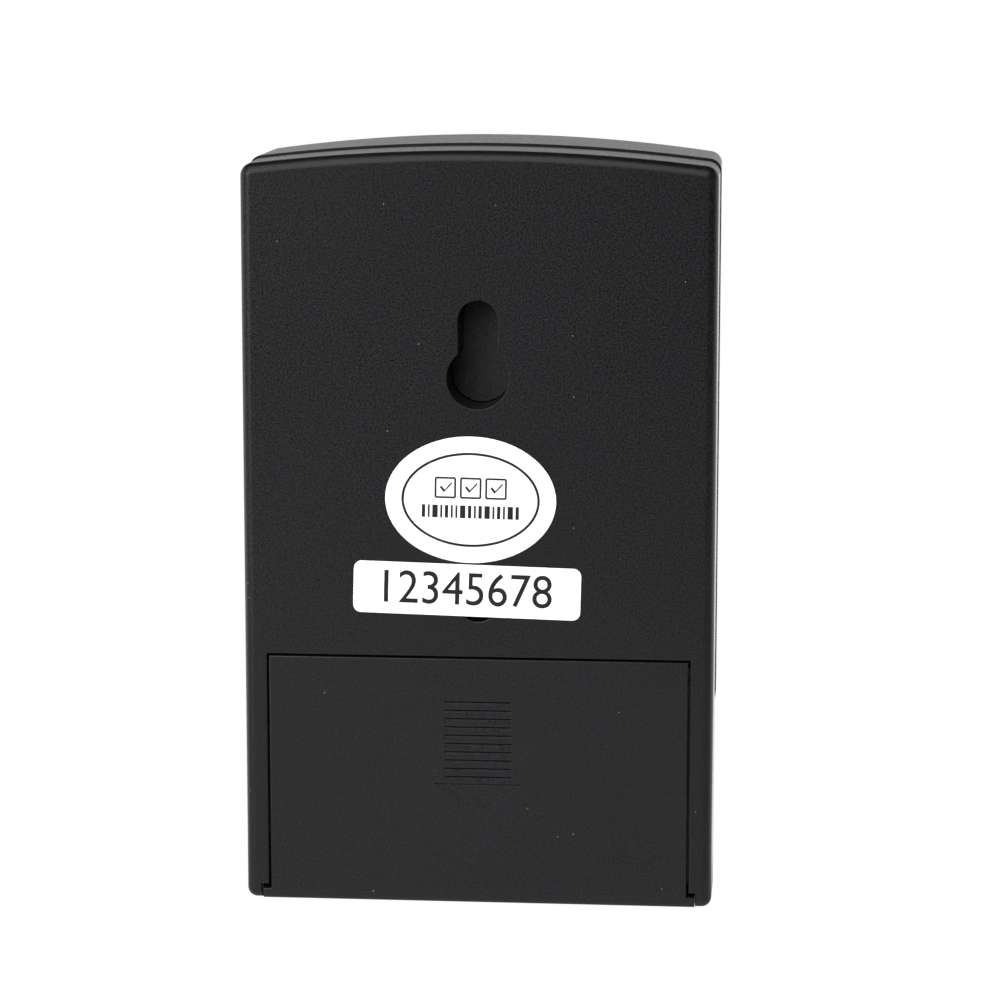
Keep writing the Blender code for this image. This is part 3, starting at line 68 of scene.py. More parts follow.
# adds a node; a setting's key is a socket's name or number, or one of the node's own properties
def addNode(tree, kind, settings=None, links=None):
    node = tree.nodes.new(kind)
    for key, value in (settings or {}).items():
        if isinstance(key, int) or key in node.inputs:
            node.inputs[key].default_value = value
        else:
            setattr(node, key, value)
    for key, source in (links or {}).items():
        tree.links.new(source, node.inputs[key])
    return node


cameraView = {
    "target": (-3.316, 0.0, 61.571),  # a point on the flat back, low and right of its middle
    "distance": 532.08,
    "elevation": 9.725,
    "turn": 4.735,  # degrees towards -X from straight behind
    "roll": 0.046,
    "lens": 130.06,
}
rise = math.radians(cameraView["elevation"])
turn = math.radians(cameraView["turn"])
outward = Vector((-math.sin(turn) * math.cos(rise), math.cos(turn) * math.cos(rise), math.sin(rise)))
cameraData = bpy.data.cameras.new("camera")
cameraData.lens = cameraView["lens"]
cameraData.sensor_width = 36
cameraData.clip_start = 0.01
camera = bpy.data.objects.new("camera", cameraData)
camera.location = at(*cameraView["target"]) + outward * cameraView["distance"] * mm
camera.rotation_mode = "QUATERNION"
camera.rotation_quaternion = ((-outward).to_track_quat("-Z", "Y")
                              @ Quaternion((0, 0, 1), math.radians(cameraView["roll"])))
scene.collection.objects.link(camera)
scene.camera = camera
print("camera set")


studio = {
    "backdrop": 1.0,      # the white sweep behind the counter, low down
    "room": 0.05,         # the darker studio on the viewer's side
    "lean": -0.3,         # the sweep comes further round on the +X side
    "overhead": 0.03,
    "sweepTop": (0.22, 0.62),  # sine of the heights where the sweep starts and ends to fade
    "table": 0.9,         # glow of the table behind the counter
    "tableFade": (-0.03, 0.03),  # metres towards the viewer where that glow ends
    "sheetTone": "#c2c2c2",     # the sheet under the counter, and the darker table beyond it
    "farTone": "#242424",
    "sheetEnd": (0.14, 0.42),
    # watts, size in metres, place, and whether it shows in glossy reflections
    "lamps": {
        "polarisedKey": (12.5, 0.5, (0.22, 1.0, 0.42), False),
        "softbox": (7.0, 1.2, (0.30, 0.80, 0.80), True),
        "sideCard": (1.5, 0.4, (0.55, 0.80, 0.21), True),
    },
}
scene.view_settings.view_transform = "Standard"
world = bpy.data.worlds.new("studio")
scene.world = world
world.use_nodes = True
tree = world.node_tree
background = tree.nodes["Background"]
direction = addNode(tree, "ShaderNodeSeparateXYZ", None,
                    {"Vector": addNode(tree, "ShaderNodeTexCoord").outputs["Generated"]})
facing = addNode(tree, "ShaderNodeMath", {"operation": "MULTIPLY_ADD", 1: studio["lean"]},
                 {0: direction.outputs["X"], 2: direction.outputs["Y"]})
aroundSweep = addNode(tree, "ShaderNodeMapRange",
                      {"interpolation_type": "SMOOTHSTEP", "From Min": -0.35, "From Max": 0.6,
                       "To Min": studio["backdrop"], "To Max": studio["room"]},
                      {"Value": facing.outputs[0]})
upSweep = addNode(tree, "ShaderNodeMapRange",
                  {"interpolation_type": "SMOOTHSTEP", "From Min": studio["sweepTop"][0],
                   "From Max": studio["sweepTop"][1], "To Min": 1.0, "To Max": studio["overhead"]},
                  {"Value": direction.outputs["Z"]})
lightThere = addNode(tree, "ShaderNodeMath", {"operation": "MULTIPLY"},
                     {0: aroundSweep.outputs[0], 1: upSweep.outputs[0]})
isSeen = addNode(tree, "ShaderNodeLightPath").outputs["Is Camera Ray"]
strength = addNode(tree, "ShaderNodeMix", {3: 1.0}, {0: isSeen, 2: lightThere.outputs[0]})
tree.links.new(strength.outputs[0], background.inputs["Strength"])
background.inputs["Color"].default_value = toLinear("#ffffff")

floorMesh = bmesh.new()
bmesh.ops.create_circle(floorMesh, cap_ends=True, segments=64, radius=4.0)
floorData = bpy.data.meshes.new("floor")
floorMesh.to_mesh(floorData)
floorMesh.free()
floor = bpy.data.objects.new("floor", floorData)
floor.location = (0, 0, -0.0002)
scene.collection.objects.link(floor)
tableTop = bpy.data.materials.new("litTable")  # white acrylic, lit from below at its far side
tableTop.use_nodes = True
tree = tableTop.node_tree
tree.nodes.clear()
place = addNode(tree, "ShaderNodeSeparateXYZ", None,
                {"Vector": addNode(tree, "ShaderNodeTexCoord").outputs["Object"]})
fade = addNode(tree, "ShaderNodeMapRange",
               {"interpolation_type": "SMOOTHSTEP", "From Min": studio["tableFade"][0],
                "From Max": studio["tableFade"][1], "To Min": studio["table"], "To Max": 0.0},
               {"Value": place.outputs["Y"]})
glow = addNode(tree, "ShaderNodeEmission", {"Color": toLinear("#ffffff")}, {"Strength": fade.outputs[0]})
beyond = addNode(tree, "ShaderNodeMapRange",
                 {"interpolation_type": "SMOOTHSTEP", "From Min": studio["sheetEnd"][0],
                  "From Max": studio["sheetEnd"][1]}, {"Value": place.outputs["Y"]})
tableTone = addNode(tree, "ShaderNodeMix", {"data_type": "RGBA", 6: toLinear(studio["sheetTone"]),
                                            7: toLinear(studio["farTone"])}, {0: beyond.outputs[0]})
board = addNode(tree, "ShaderNodeBsdfDiffuse", None, {"Color": tableTone.outputs[2]})
lit = addNode(tree, "ShaderNodeAddShader", None, {0: glow.outputs[0], 1: board.outputs[0]})
seen = addNode(tree, "ShaderNodeLightPath").outputs["Is Camera Ray"]
clear = addNode(tree, "ShaderNodeBsdfTransparent")
both = addNode(tree, "ShaderNodeMixShader", None, {0: seen, 1: lit.outputs[0], 2: clear.outputs[0]})
addNode(tree, "ShaderNodeOutputMaterial", None, {"Surface": both.outputs[0]})
floorData.materials.append(tableTop)

# the key shines through a polarising sheet, so it lights the colours but leaves no glint
for name, (power, size, spot, glints) in studio["lamps"].items():
    lamp = bpy.data.objects.new(name, bpy.data.lights.new(name, "AREA"))
    lamp.data.energy = power
    lamp.data.size = size
    lamp.visible_glossy = glints
    lamp.location = spot
    lamp.rotation_mode = "QUATERNION"
    lamp.rotation_quaternion = (at(0, 0, 60) - lamp.location).to_track_quat("-Z", "Y")
    scene.collection.objects.link(lamp)
print("studio lit")


# A surface with cloudy tone, grain, relief and uneven gloss, all sized in millimetres.
# Returns the material, its tree and shader, and the nodes that a finish may build on.
def surface(name, dark, light, patch, grain, relief, rough, sockets=None):
    material = bpy.data.materials.new(name)
    material.use_nodes = True
    tree = material.node_tree
    shader = tree.nodes["Principled BSDF"]
    place = addNode(tree, "ShaderNodeTexCoord").outputs["Object"]
    clouds = addNode(tree, "ShaderNodeTexNoise",
                     {"Scale": 1 / (patch * mm), "Detail": 4.0, "Roughness": 0.6}, {"Vector": place})
    grit = addNode(tree, "ShaderNodeTexNoise",
                   {"Scale": 1 / (grain * mm), "Detail": 2.0, "Roughness": 0.55}, {"Vector": place})
    tone = addNode(tree, "ShaderNodeMix", {"data_type": "RGBA", 6: toLinear(dark), 7: toLinear(light)},
                   {0: clouds.outputs["Fac"]})
    gloss = addNode(tree, "ShaderNodeMapRange", {"From Min": 0.3, "From Max": 0.7,
                                                 "To Min": rough[0], "To Max": rough[1]},
                    {"Value": grit.outputs["Fac"]})
    bump = addNode(tree, "ShaderNodeBump", {"Strength": 1.0, "Distance": relief * mm},
                   {"Height": grit.outputs["Fac"]})
    tree.links.new(tone.outputs[2], shader.inputs["Base Color"])
    tree.links.new(gloss.outputs[0], shader.inputs["Roughness"])
    tree.links.new(bump.outputs[0], shader.inputs["Normal"])
    for socket, value in (sockets or {}).items():
        shader.inputs[socket].default_value = value
    return {"material": material, "tree": tree, "shader": shader, "place": place, "clouds": clouds,
            "grit": grit, "tone": tone.outputs[2], "gloss": gloss, "bump": bump}


# black ABS from a spark-eroded mould: a fine matt grain, made smoother on its edges by rubbing, with the odd
# speck of dust; the edges' colour is lightened too, partly as wear and partly as a painted sheen; the side walls drew
# along polished mould faces, so they are glossier
def sparkErodedAbs(name, dark, light, rough, dust=0.75):
    made = surface(name, dark, light, 22, 0.3, 0.022, rough, {"IOR": 1.54})
    tree, shader = made["tree"], made["shader"]
    geometry = addNode(tree, "ShaderNodeNewGeometry")
    rounded = addNode(tree, "ShaderNodeBevel", {"samples": 4, "Radius": 0.3 * mm})
    facing = addNode(tree, "ShaderNodeVectorMath", {"operation": "DOT_PRODUCT"},
                     {0: geometry.outputs["Normal"], 1: rounded.outputs[0]})
    rubbedEdgeAndSheen = addNode(tree, "ShaderNodeMapRange", {"From Min": 0.985, "From Max": 0.88, "To Min": 0.0,
                                                  "To Max": 0.3}, {"Value": facing.outputs["Value"]})
    # the grain's pits hold shade and its peaks catch light, drawn a little coarser than they are to show
    pits = addNode(tree, "ShaderNodeMapRange", {"From Min": 0.35, "From Max": 0.65, "To Min": 0.4,
                                                "To Max": 1.6}, {"Value": made["grit"].outputs["Fac"]})
    pitted = addNode(tree, "ShaderNodeVectorMath", {"operation": "MULTIPLY"},
                     {0: made["tone"], 1: pits.outputs[0]})
    # the edges are mixed towards a lighter grey: partly wear, partly a painted sheen standing in for the light their
    # rounding catches
    wornAndSheenTone = addNode(tree, "ShaderNodeMix", {"data_type": "RGBA", 7: toLinear("#2e2e30")},
                   {0: rubbedEdgeAndSheen.outputs[0], 6: pitted.outputs[0]})
    specks = addNode(tree, "ShaderNodeTexVoronoi", {"Scale": 1 / (2.3 * mm)}, {"Vector": made["place"]})
    chosen = addNode(tree, "ShaderNodeSeparateColor", None, {"Color": specks.outputs["Color"]})
    few = addNode(tree, "ShaderNodeMath", {"operation": "GREATER_THAN", 1: dust}, {0: chosen.outputs["Red"]})
    small = addNode(tree, "ShaderNodeMath", {"operation": "LESS_THAN", 1: 0.035},
                    {0: specks.outputs["Distance"]})
    speck = addNode(tree, "ShaderNodeMath", {"operation": "MULTIPLY"}, {0: few.outputs[0], 1: small.outputs[0]})
    dusted = addNode(tree, "ShaderNodeMix", {"data_type": "RGBA", 7: toLinear("#8c8c88")},
                     {0: speck.outputs[0], 6: wornAndSheenTone.outputs[2]})
    across = addNode(tree, "ShaderNodeSeparateXYZ", None, {"Vector": geometry.outputs["Normal"]})
    sideways = addNode(tree, "ShaderNodeMath", {"operation": "ABSOLUTE"}, {0: across.outputs["X"]})
    drawn = addNode(tree, "ShaderNodeMapRange", {"From Min": 0.95, "From Max": 0.985},
                    {"Value": sideways.outputs[0]})
    polished = addNode(tree, "ShaderNodeMath", {"operation": "MULTIPLY_ADD", 1: -0.25},
                       {0: rubbedEdgeAndSheen.outputs[0], 2: made["gloss"].outputs[0]})
    sleek = addNode(tree, "ShaderNodeMix", {3: 0.14}, {0: drawn.outputs[0], 2: polished.outputs[0]})
    flatter = addNode(tree, "ShaderNodeMapRange", {"To Min": 1.0, "To Max": 0.25}, {"Value": drawn.outputs[0]})
    tree.links.new(dusted.outputs[2], shader.inputs["Base Color"])
    tree.links.new(sleek.outputs[0], shader.inputs["Roughness"])
    tree.links.new(flatter.outputs[0], made["bump"].inputs["Strength"])
    return made["material"]


caseAbs = sparkErodedAbs("sparkErodedAbs", "#0b0b0e", "#101013", (0.28, 0.48))
doorAbs = sparkErodedAbs("sparkErodedDoorAbs", "#0d0d10", "#131316", (0.27, 0.46), 0.7)
# the same plastic at the bottom of the hanging pocket, with more specks of dust, and a tone lighter than the case's
# that is painted light against the shade down in the pocket
paintedLightPocketAbs = sparkErodedAbs("dustyPaintedLightPocketAbs", "#0f0f11", "#151517", (0.46, 0.6), 0.5)
# white sticker paper, calendered and lacquered: bright, faintly fibrous, half matt
labelPaper = surface("lacqueredLabelPaper", "#f4f4f2", "#fcfcfb", 3, 0.25, 0.003, (0.38, 0.5),
                     {"IOR": 1.5})["material"]
# thermal print: dense black that sits a hair above the paper
printInk = surface("thermalPrintInk", "#0c0c0d", "#1a1a1b", 1.2, 0.15, 0.002, (0.45, 0.6))["material"]
# cast acrylic, polished: clear, with very faint waves
lensAcrylic = surface("polishedAcrylic", "#e9eeee", "#f3f6f5", 12, 4, 0.004, (0.03, 0.06),
                      {"IOR": 1.49, "Transmission Weight": 1.0})["material"]
maskInk = surface("screenPrintedMask", "#0a0b0c", "#101112", 6, 0.3, 0.002, (0.3, 0.4))["material"]
# twisted-nematic glass over a silvered polariser: grey-green with a fine glitter
displayGlass = surface("reflectiveLcdGlass", "#8d9684", "#a2ab97", 9, 0.22, 0.004, (0.16, 0.26),
                       {"IOR": 1.52, "Coat Weight": 0.6, "Coat Roughness": 0.05})["material"]
liquidCrystal = surface("darkLcdSegment", "#23282a", "#2c3231", 2, 0.3, 0.001, (0.3, 0.4))["material"]
# silicone keys, moulded and powdered: soft dark grey with a dry sheen
keyRubber = surface("siliconeKeyRubber", "#38393c", "#424347", 3, 0.2, 0.006, (0.55, 0.68),
                    {"IOR": 1.42, "Sheen Weight": 0.15, "Sheen Roughness": 0.5})["material"]
keyPrint = surface("whiteKeyPrint", "#c9cac8", "#dadbd9", 1, 0.12, 0.002, (0.45, 0.55))["material"]
# polyethylene foam, cut from sheet: matt charcoal with open cells
foam = surface("closedCellFoam", "#202021", "#313133", 1.4, 0.35, 0.09, (0.85, 0.97),
               {"IOR": 1.4})["material"]
# nickel-plated music wire, coiled: bright with fine drawing marks
springSteel = surface("nickelPlatedSpringWire", "#b9b6ae", "#d6d4cd", 1.5, 0.12, 0.003, (0.2, 0.34),
                      {"Metallic": 1.0})["material"]
# nickel-plated strip, blanked and folded: satin with faint stains
contactStrip = surface("nickelPlatedContactStrip", "#aeaba3", "#d2d0c8", 2.5, 0.18, 0.003, (0.26, 0.42),
                       {"Metallic": 1.0})["material"]
# zinc-plated steel, cold-headed: bluish grey with small clouds
screwSteel = surface("zincPlatedScrewSteel", "#8f949a", "#c3c8cc", 0.9, 0.14, 0.004, (0.28, 0.46),
                     {"Metallic": 1.0})["material"]
redPvc = surface("redPvcInsulation", "#9e1512", "#bd1f19", 2, 0.2, 0.003, (0.35, 0.48))["material"]
blackPvc = surface("blackPvcInsulation", "#111112", "#1d1d1e", 2, 0.2, 0.003, (0.35, 0.48))["material"]
holderPlastic = surface("ivoryPolycarbonate", "#d6d2c4", "#e4e1d5", 6, 0.25, 0.004, (0.42, 0.55))["material"]
diffuser = surface("opalAcrylicDiffuser", "#eceae2", "#f8f7f2", 8, 0.3, 0.002, (0.32, 0.42))["material"]
contactRubber = surface("carbonLoadedRubber", "#5b4540", "#6d5650", 1.5, 0.18, 0.006, (0.6, 0.75))["material"]
switchPlastic = surface("glassFilledNylon", "#141415", "#202022", 1.6, 0.16, 0.006, (0.45, 0.6))["material"]
plungerPlastic = surface("acetalPlunger", "#a3957a", "#b7aa90", 1.5, 0.2, 0.003, (0.3, 0.42))["material"]
ferrite = surface("sinteredFerrite", "#2a2524", "#3b3533", 1.6, 0.2, 0.012, (0.5, 0.68))["material"]
filmCapacitor = surface("epoxyDippedFilm", "#7c1d14", "#96291c", 4, 0.5, 0.01, (0.18, 0.3))["material"]
chipEpoxy = surface("mouldedChipEpoxy", "#151617", "#222425", 1.8, 0.12, 0.006, (0.5, 0.65))["material"]
canMetal = surface("drawnNickelSilverCan", "#a8a69f", "#c9c8c2", 2, 0.2, 0.003, (0.24, 0.36),
                   {"Metallic": 1.0})["material"]
tubeGlass = surface("smokedBorosilicateGlass", "#5a4a38", "#7b6950", 5, 3, 0.004, (0.05, 0.12),
                    {"IOR": 1.47, "Coat Weight": 0.8, "Coat Roughness": 0.03})["material"]
capMetal = surface("spunSteelCap", "#9fa0a0", "#c6c7c6", 2, 0.2, 0.004, (0.22, 0.36), {"Metallic": 1.0})["material"]
sounderPlastic = surface("mouldedSounderCase", "#101011", "#1b1b1c", 3, 0.25, 0.006, (0.4, 0.55))["material"]
lampBody = surface("warmLedPackage", "#e6ddb8", "#f3ecc9", 1, 0.15, 0.002, (0.25, 0.35))["material"]
pipeAcrylic = surface("redAcrylicLightPipe", "#a3130f", "#c71c15", 3, 0.6, 0.002, (0.06, 0.12),
                      {"IOR": 1.49, "Transmission Weight": 0.35})["material"]
print("materials mixed")


def loft(mesh, rings):
    rows = [[mesh.verts.new(point) for point in ring] for ring in rings]
    count = len(rows[0])
    for row, following in zip(rows, rows[1:]):
        for i in range(count):
            j = (i + 1) % count
            mesh.faces.new((row[i], row[j], following[j], following[i]))
    mesh.faces.new(rows[0])
    mesh.faces.new(reversed(rows[-1]))


def block(mesh, xs, depths, zs):
    corners = [(xs[i], zs[j]) for i, j in ((0, 0), (1, 0), (1, 1), (0, 1))]
    loft(mesh, [[at(x, depth, z) for x, z in corners] for depth in depths])


def prism(mesh, outline, depths):
    loft(mesh, [[at(x, depth, z) for x, z in outline] for depth in depths])


# a cutter whose mouth leaves a rounded lip; outlineAt(grow) gives its outline, side is 1 at the back
def lippedPrism(mesh, outlineAt, face, end, lip, side=1, steps=4):
    levels = [(face - side, lip)]
    for i in range(steps + 1):
        angle = math.radians(90 * i / steps)
        levels.append((face + side * lip * (1 - math.cos(angle)), lip * (1 - math.sin(angle))))
    levels.append((end, 0.0))
    loft(mesh, [[at(x, depth, z) for x, z in outlineAt(grow)] for depth, grow in levels])


def circle(x, z, radius, segments=48):
    turns = [2 * math.pi * i / segments for i in range(segments)]
    return [(x + radius * math.cos(a), z + radius * math.sin(a)) for a in turns]


def roundedBox(x, z, width, height, radius, segments=8):
    points = []
    for signX, signZ, start in ((1, 1, 0), (-1, 1, 90), (-1, -1, 180), (1, -1, 270)):
        for i in range(segments + 1):
            angle = math.radians(start + 90 * i / segments)
            points.append((x + signX * (width / 2 - radius) + radius * math.cos(angle),
                           z + signZ * (height / 2 - radius) + radius * math.sin(angle)))
    return points


def turned(mesh, x, z, steps, segments=48):
    loft(mesh, [[at(px, depth, pz) for px, pz in circle(x, z, radius, segments)] for depth, radius in steps])


def turnedAlongX(mesh, depth, z, steps, segments=64):
    turns = [2 * math.pi * i / segments for i in range(segments)]
    loft(mesh, [[at(x, depth + radius * math.cos(a), z + radius * math.sin(a)) for a in turns]
                for x, radius in steps])


def tilted(outline, x, z, tilt):
    cos, sin = math.cos(tilt), math.sin(tilt)
    return [(x + (px - x) * cos - (pz - z) * sin, z + (px - x) * sin + (pz - z) * cos) for px, pz in outline]


def newObject(name, mesh, material=None):
    bmesh.ops.recalc_face_normals(mesh, faces=mesh.faces)
    data = bpy.data.meshes.new(name)
    mesh.to_mesh(data)
    mesh.free()
    if material:
        data.materials.append(material)
    thing = bpy.data.objects.new(name, data)
    scene.collection.objects.link(thing)
    return thing


def freeze(thing):  # keeps what the modifiers make, and drops them
    bpy.context.view_layer.update()
    made = bpy.data.meshes.new_from_object(thing.evaluated_get(bpy.context.evaluated_depsgraph_get()))
    thing.modifiers.clear()
    thing.data = made


def carve(thing, mesh, operation="DIFFERENCE"):
    tool = newObject(thing.name + "Tool", mesh)
    step = thing.modifiers.new("carve", "BOOLEAN")
    step.operation = operation
    step.solver = "EXACT"
    step.object = tool
    freeze(thing)
    bpy.data.objects.remove(tool, do_unlink=True)


# smooth shading that keeps the flats flat, then the piece's body and the node it stands for
def settle(thing, body, node=None, angle=30):
    thing.data.shade_smooth()
    thing.data.set_sharp_from_angle(angle=math.radians(angle))
    even = thing.modifiers.new("even", "WEIGHTED_NORMAL")
    even.keep_sharp = True
    even.weight = 100
    freeze(thing)
    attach(thing, body)
    if node:
        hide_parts(node)
    return thing


case = {
    "half": 35.0,
    "wall": 2.0,
    "sink": 0.1,          # the flat back lies this far under the tops of its stickers
    "rearDepth": 10.7,
    "depth": 30.0,
    "sideStep": 0.15,     # the front half stands this far outside the back half at the sides
    "frontDraft": 0.35,   # and draws in by this much towards the lens side
    "topStep": 0.35,      # how far it stands above the back half
    "crownRise": 0.16,    # and rises further towards the lens side
    "partingChamfer": 0.15,
    "groove": (0.8, 1.0),  # width and depth of the shadow groove at the parting line
    "rearArch": 272.0,
    "frontArch": 233.0,
    "topCorner": 1.9,
    "footCorner": 1.5,
    "rearEdge": 1.6,
    "frontEdge": 1.6,
    "waist": 0.6,
    "waistTop": 27.0,
    "waistBlend": 4.0,
    "lip": 0.22,          # rounding where an opening meets the face
    "cornerSteps": 10,
}
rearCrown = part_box("rear_case")[1].z / mm
frontCrown = rearCrown + case["topStep"] + case["crownRise"]


def caseOutline(inset, spread, crown, archRadius, waist=0.0):
    half = case["half"] - inset + spread
    footHalf = half - waist
    arch = archRadius - inset + spread
    archZ = crown - archRadius
    top = max(case["topCorner"] - inset, 0.3)
    foot = max(case["footCorner"] - inset, 0.3)
    cornerZ = archZ + math.sqrt((arch - top) ** 2 - (half - top) ** 2)
    lean = math.atan2(cornerZ - archZ, half - top)
    steps = case["cornerSteps"]
    right = []
    for i in range(steps + 1):
        angle = math.radians(-90 + 90 * i / steps)
        right.append((footHalf - foot + foot * math.cos(angle), inset + foot + foot * math.sin(angle)))
    for i in range(7):  # an eased step out from the waist
        share = i / 6
        ease = share * share * (3 - 2 * share)
        right.append((footHalf + waist * ease, case["waistTop"] + case["waistBlend"] * share))
    for i in range(steps + 1):
        angle = lean * i / steps
        right.append((half - top + top * math.cos(angle), cornerZ + top * math.sin(angle)))
    for i in range(1, 24):
        angle = lean + (math.pi / 2 - lean) * i / 24
        right.append((arch * math.cos(angle), archZ + arch * math.sin(angle)))
    left = [(-x, z) for x, z in reversed(right)]
    return right + [(0.0, crown - inset + spread)] + left


def rearRing(depth, inset):
    return [at(x, depth, z) for x, z in caseOutline(inset, 0.0, rearCrown, case["rearArch"])]


def frontRing(depth, inset):
    share = (depth - case["rearDepth"]) / (case["depth"] - case["rearDepth"])
    spread = case["sideStep"] - case["frontDraft"] * share
    crown = frontCrown - case["crownRise"] * (1 - share)
    arch = 1 / ((1 - share) / case["rearArch"] + share / case["frontArch"])
    return [at(x, depth, z) for x, z in caseOutline(inset, spread, crown - spread, arch, case["waist"])]


cell = {"radius": 7.25, "length": 50.5, "nubRadius": 2.75, "nubLength": 1.0}
upperX, cellDepth, upperZ = middleOf("upper_cell")
lowerX, _, lowerZ = middleOf("lower_cell")
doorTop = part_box("battery_door")[1].z / mm
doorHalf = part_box("battery_door")[1].x / mm - 1.2
bayTop = doorTop + 0.3
bayBottom = lowerZ - cell["radius"] - 0.3
bayFloor = cellDepth + cell["radius"] + 0.3
bayHalf = 29.6
railDepth = 3.6
screwZ = middleOf("case_screw_centre")[2]

keyhole = {
    "entry": 4.57,
    "slot": 2.92,
    "belowCrown": 33.3,
    "rise": 11.5,
    "plate": 2.0,
    "pocket": 9.0,
    "floorRise": 1.2,
}
keyZ = rearCrown - keyhole["belowCrown"]


def keyOutline(entry, slot, steps=20):
    spread = math.asin(min(slot / entry, 1.0))
    slotZ = keyZ + keyhole["rise"] - keyhole["slot"]
    points = []
    for i in range(2 * steps + 1):
        angle = math.pi / 2 + spread + (2 * math.pi - 2 * spread) * i / (2 * steps)
        points.append((entry * math.cos(angle), keyZ + entry * math.sin(angle)))
    for i in range(steps + 1):
        angle = math.pi * i / steps
        points.append((slot * math.cos(angle), slotZ + slot * math.sin(angle)))
    return points


flange = {
    "thickness": 1.65,
    "gap": 0.65,
    "overhang": 1.2,
    "footRadius": 0.9,
    "guideDepth": 1.2,    # from here inwards the case guides the flange's ends closely
    "guideGap": 0.06,
}
seam = 0.3


def makeRearShell():
    wall, sink, lip = case["wall"], case["sink"], case["lip"]
    rings = []
    for i in range(9):
        angle = math.radians(90 * i / 8)
        rings.append(rearRing(sink + (case["rearEdge"] - sink / 2) * (1 - math.cos(angle)),
                              case["rearEdge"] * (1 - math.sin(angle))))
    rings.append(rearRing(case["rearDepth"] - case["partingChamfer"], 0.0))
    rings.append(rearRing(case["rearDepth"], case["partingChamfer"]))
    rings.append(rearRing(case["rearDepth"], wall))
    rings.append(rearRing(wall, wall))
    mesh = bmesh.new()
    loft(mesh, rings)
    shell = newObject("rear_shell", mesh, caseAbs)
    outer = bayHalf + 1.4
    bayEnd = bayFloor + 1.5
    added = bmesh.new()
    block(added, (-outer, outer), (railDepth, bayEnd), (bayBottom - 1.4, bayTop + 1.4))
    carve(shell, added, "UNION")
    added = bmesh.new()
    block(added, (-outer, outer), (wall / 2, railDepth + 1.4), (bayTop, bayTop + 1.26))
    carve(shell, added, "UNION")
    added = bmesh.new()
    for low, high in ((bayHalf, case["half"] - wall / 2), (wall / 2 - case["half"], -bayHalf)):
        block(added, (low, high), (railDepth, railDepth + 1.2), (bayBottom - 1.4, bayTop + 1.4))
    carve(shell, added, "UNION")
    added = bmesh.new()
    bossEnd = bayFloor - 1.8
    turned(added, 0, screwZ, ((wall / 2, 4.5), (bossEnd, 4.5)))
    carve(shell, added, "UNION")
    added = bmesh.new()
    boxHalf = keyhole["entry"] + 1.4
    block(added, (-boxHalf, boxHalf), (wall / 2, keyhole["pocket"] + 1.4),
          (keyZ - boxHalf, keyZ + keyhole["rise"] - keyhole["slot"] + boxHalf))
    carve(shell, added, "UNION")

    # the door's opening, its bay and the notch for the foot flange
    openHalf = doorHalf + seam
    cutter = bmesh.new()
    lippedPrism(cutter, lambda grow: [(-openHalf - grow, -2), (openHalf + grow, -2),
                                      (openHalf + grow, bayTop + grow), (-openHalf - grow, bayTop + grow)],
                sink, wall + seam, lip)
    carve(shell, cutter)
    cutter = bmesh.new()
    block(cutter, (-bayHalf, bayHalf), (wall / 2, bayFloor), (bayBottom, bayTop))
    carve(shell, cutter)
    notchHalf = doorHalf + flange["overhang"] + seam
    guideHalf = doorHalf + flange["overhang"] + flange["guideGap"]
    notchTop = flange["thickness"] + flange["gap"]
    cutter = bmesh.new()
    lippedPrism(cutter, lambda grow: [(-notchHalf - grow, -2), (notchHalf + grow, -2),
                                      (notchHalf + grow, notchTop + grow), (-notchHalf - grow, notchTop + grow)],
                sink, flange["guideDepth"], lip * 0.7)
    carve(shell, cutter)
    cutter = bmesh.new()
    block(cutter, (-guideHalf, guideHalf), (sink, case["rearDepth"] + wall), (-2, notchTop))
    carve(shell, cutter)
    cutter = bmesh.new()
    lippedPrism(cutter, lambda grow: keyOutline(keyhole["entry"] + grow, keyhole["slot"] + grow),
                sink, keyhole["plate"] + 0.5, lip * 0.6, steps=6)
    carve(shell, cutter)
    cutter = bmesh.new()
    prism(cutter, keyOutline(keyhole["entry"], keyhole["entry"]), (keyhole["plate"], keyhole["pocket"]))
    carve(shell, cutter)
    cutter = bmesh.new()
    lippedPrism(cutter, lambda grow: circle(0, screwZ, 3.0 + grow), sink, bossEnd - wall, lip)
    carve(shell, cutter)
    cutter = bmesh.new()
    turned(cutter, 0, screwZ, ((bossEnd - 2 * wall, 1.6), (bossEnd + wall, 1.6)), 24)
    for name in ("case_screw_left", "case_screw_right"):
        x, _, z = middleOf(name)
        turned(cutter, x, z, ((bayFloor - wall, 1.3), (bayEnd + wall, 1.3)), 24)
    tabX = (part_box("positive_contact")[0].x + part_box("positive_contact")[1].x) / 2 / mm
    for tab in (cellDepth + 1.5, cellDepth - 3.5 - 2.0 - 0.6):
        block(cutter, (tabX - 0.5, tabX + 0.5), (tab - 0.3, tab + 2.3), (bayTop - wall, bayTop + 1.4 + wall))
    carve(shell, cutter)
    settle(shell, "case", "rear_case")


def makePocketFloor():
    mesh = bmesh.new()
    high, low = keyhole["pocket"] - keyhole["floorRise"], keyhole["pocket"] + 0.05
    levels = ((high, -0.16), (high + 0.06, -0.1), (low, -0.1))
    loft(mesh, [[at(x, depth, z) for x, z in keyOutline(keyhole["entry"] + grow, keyhole["slot"] + grow)]
                for depth, grow in levels])
    # the pocket's floor takes the lightened plastic: painted light where the pocket lies in shade
    settle(newObject("keyhole_floor", mesh, paintedLightPocketAbs), "case")


makeRearShell()
makePocketFloor()
print("rear shell moulded")


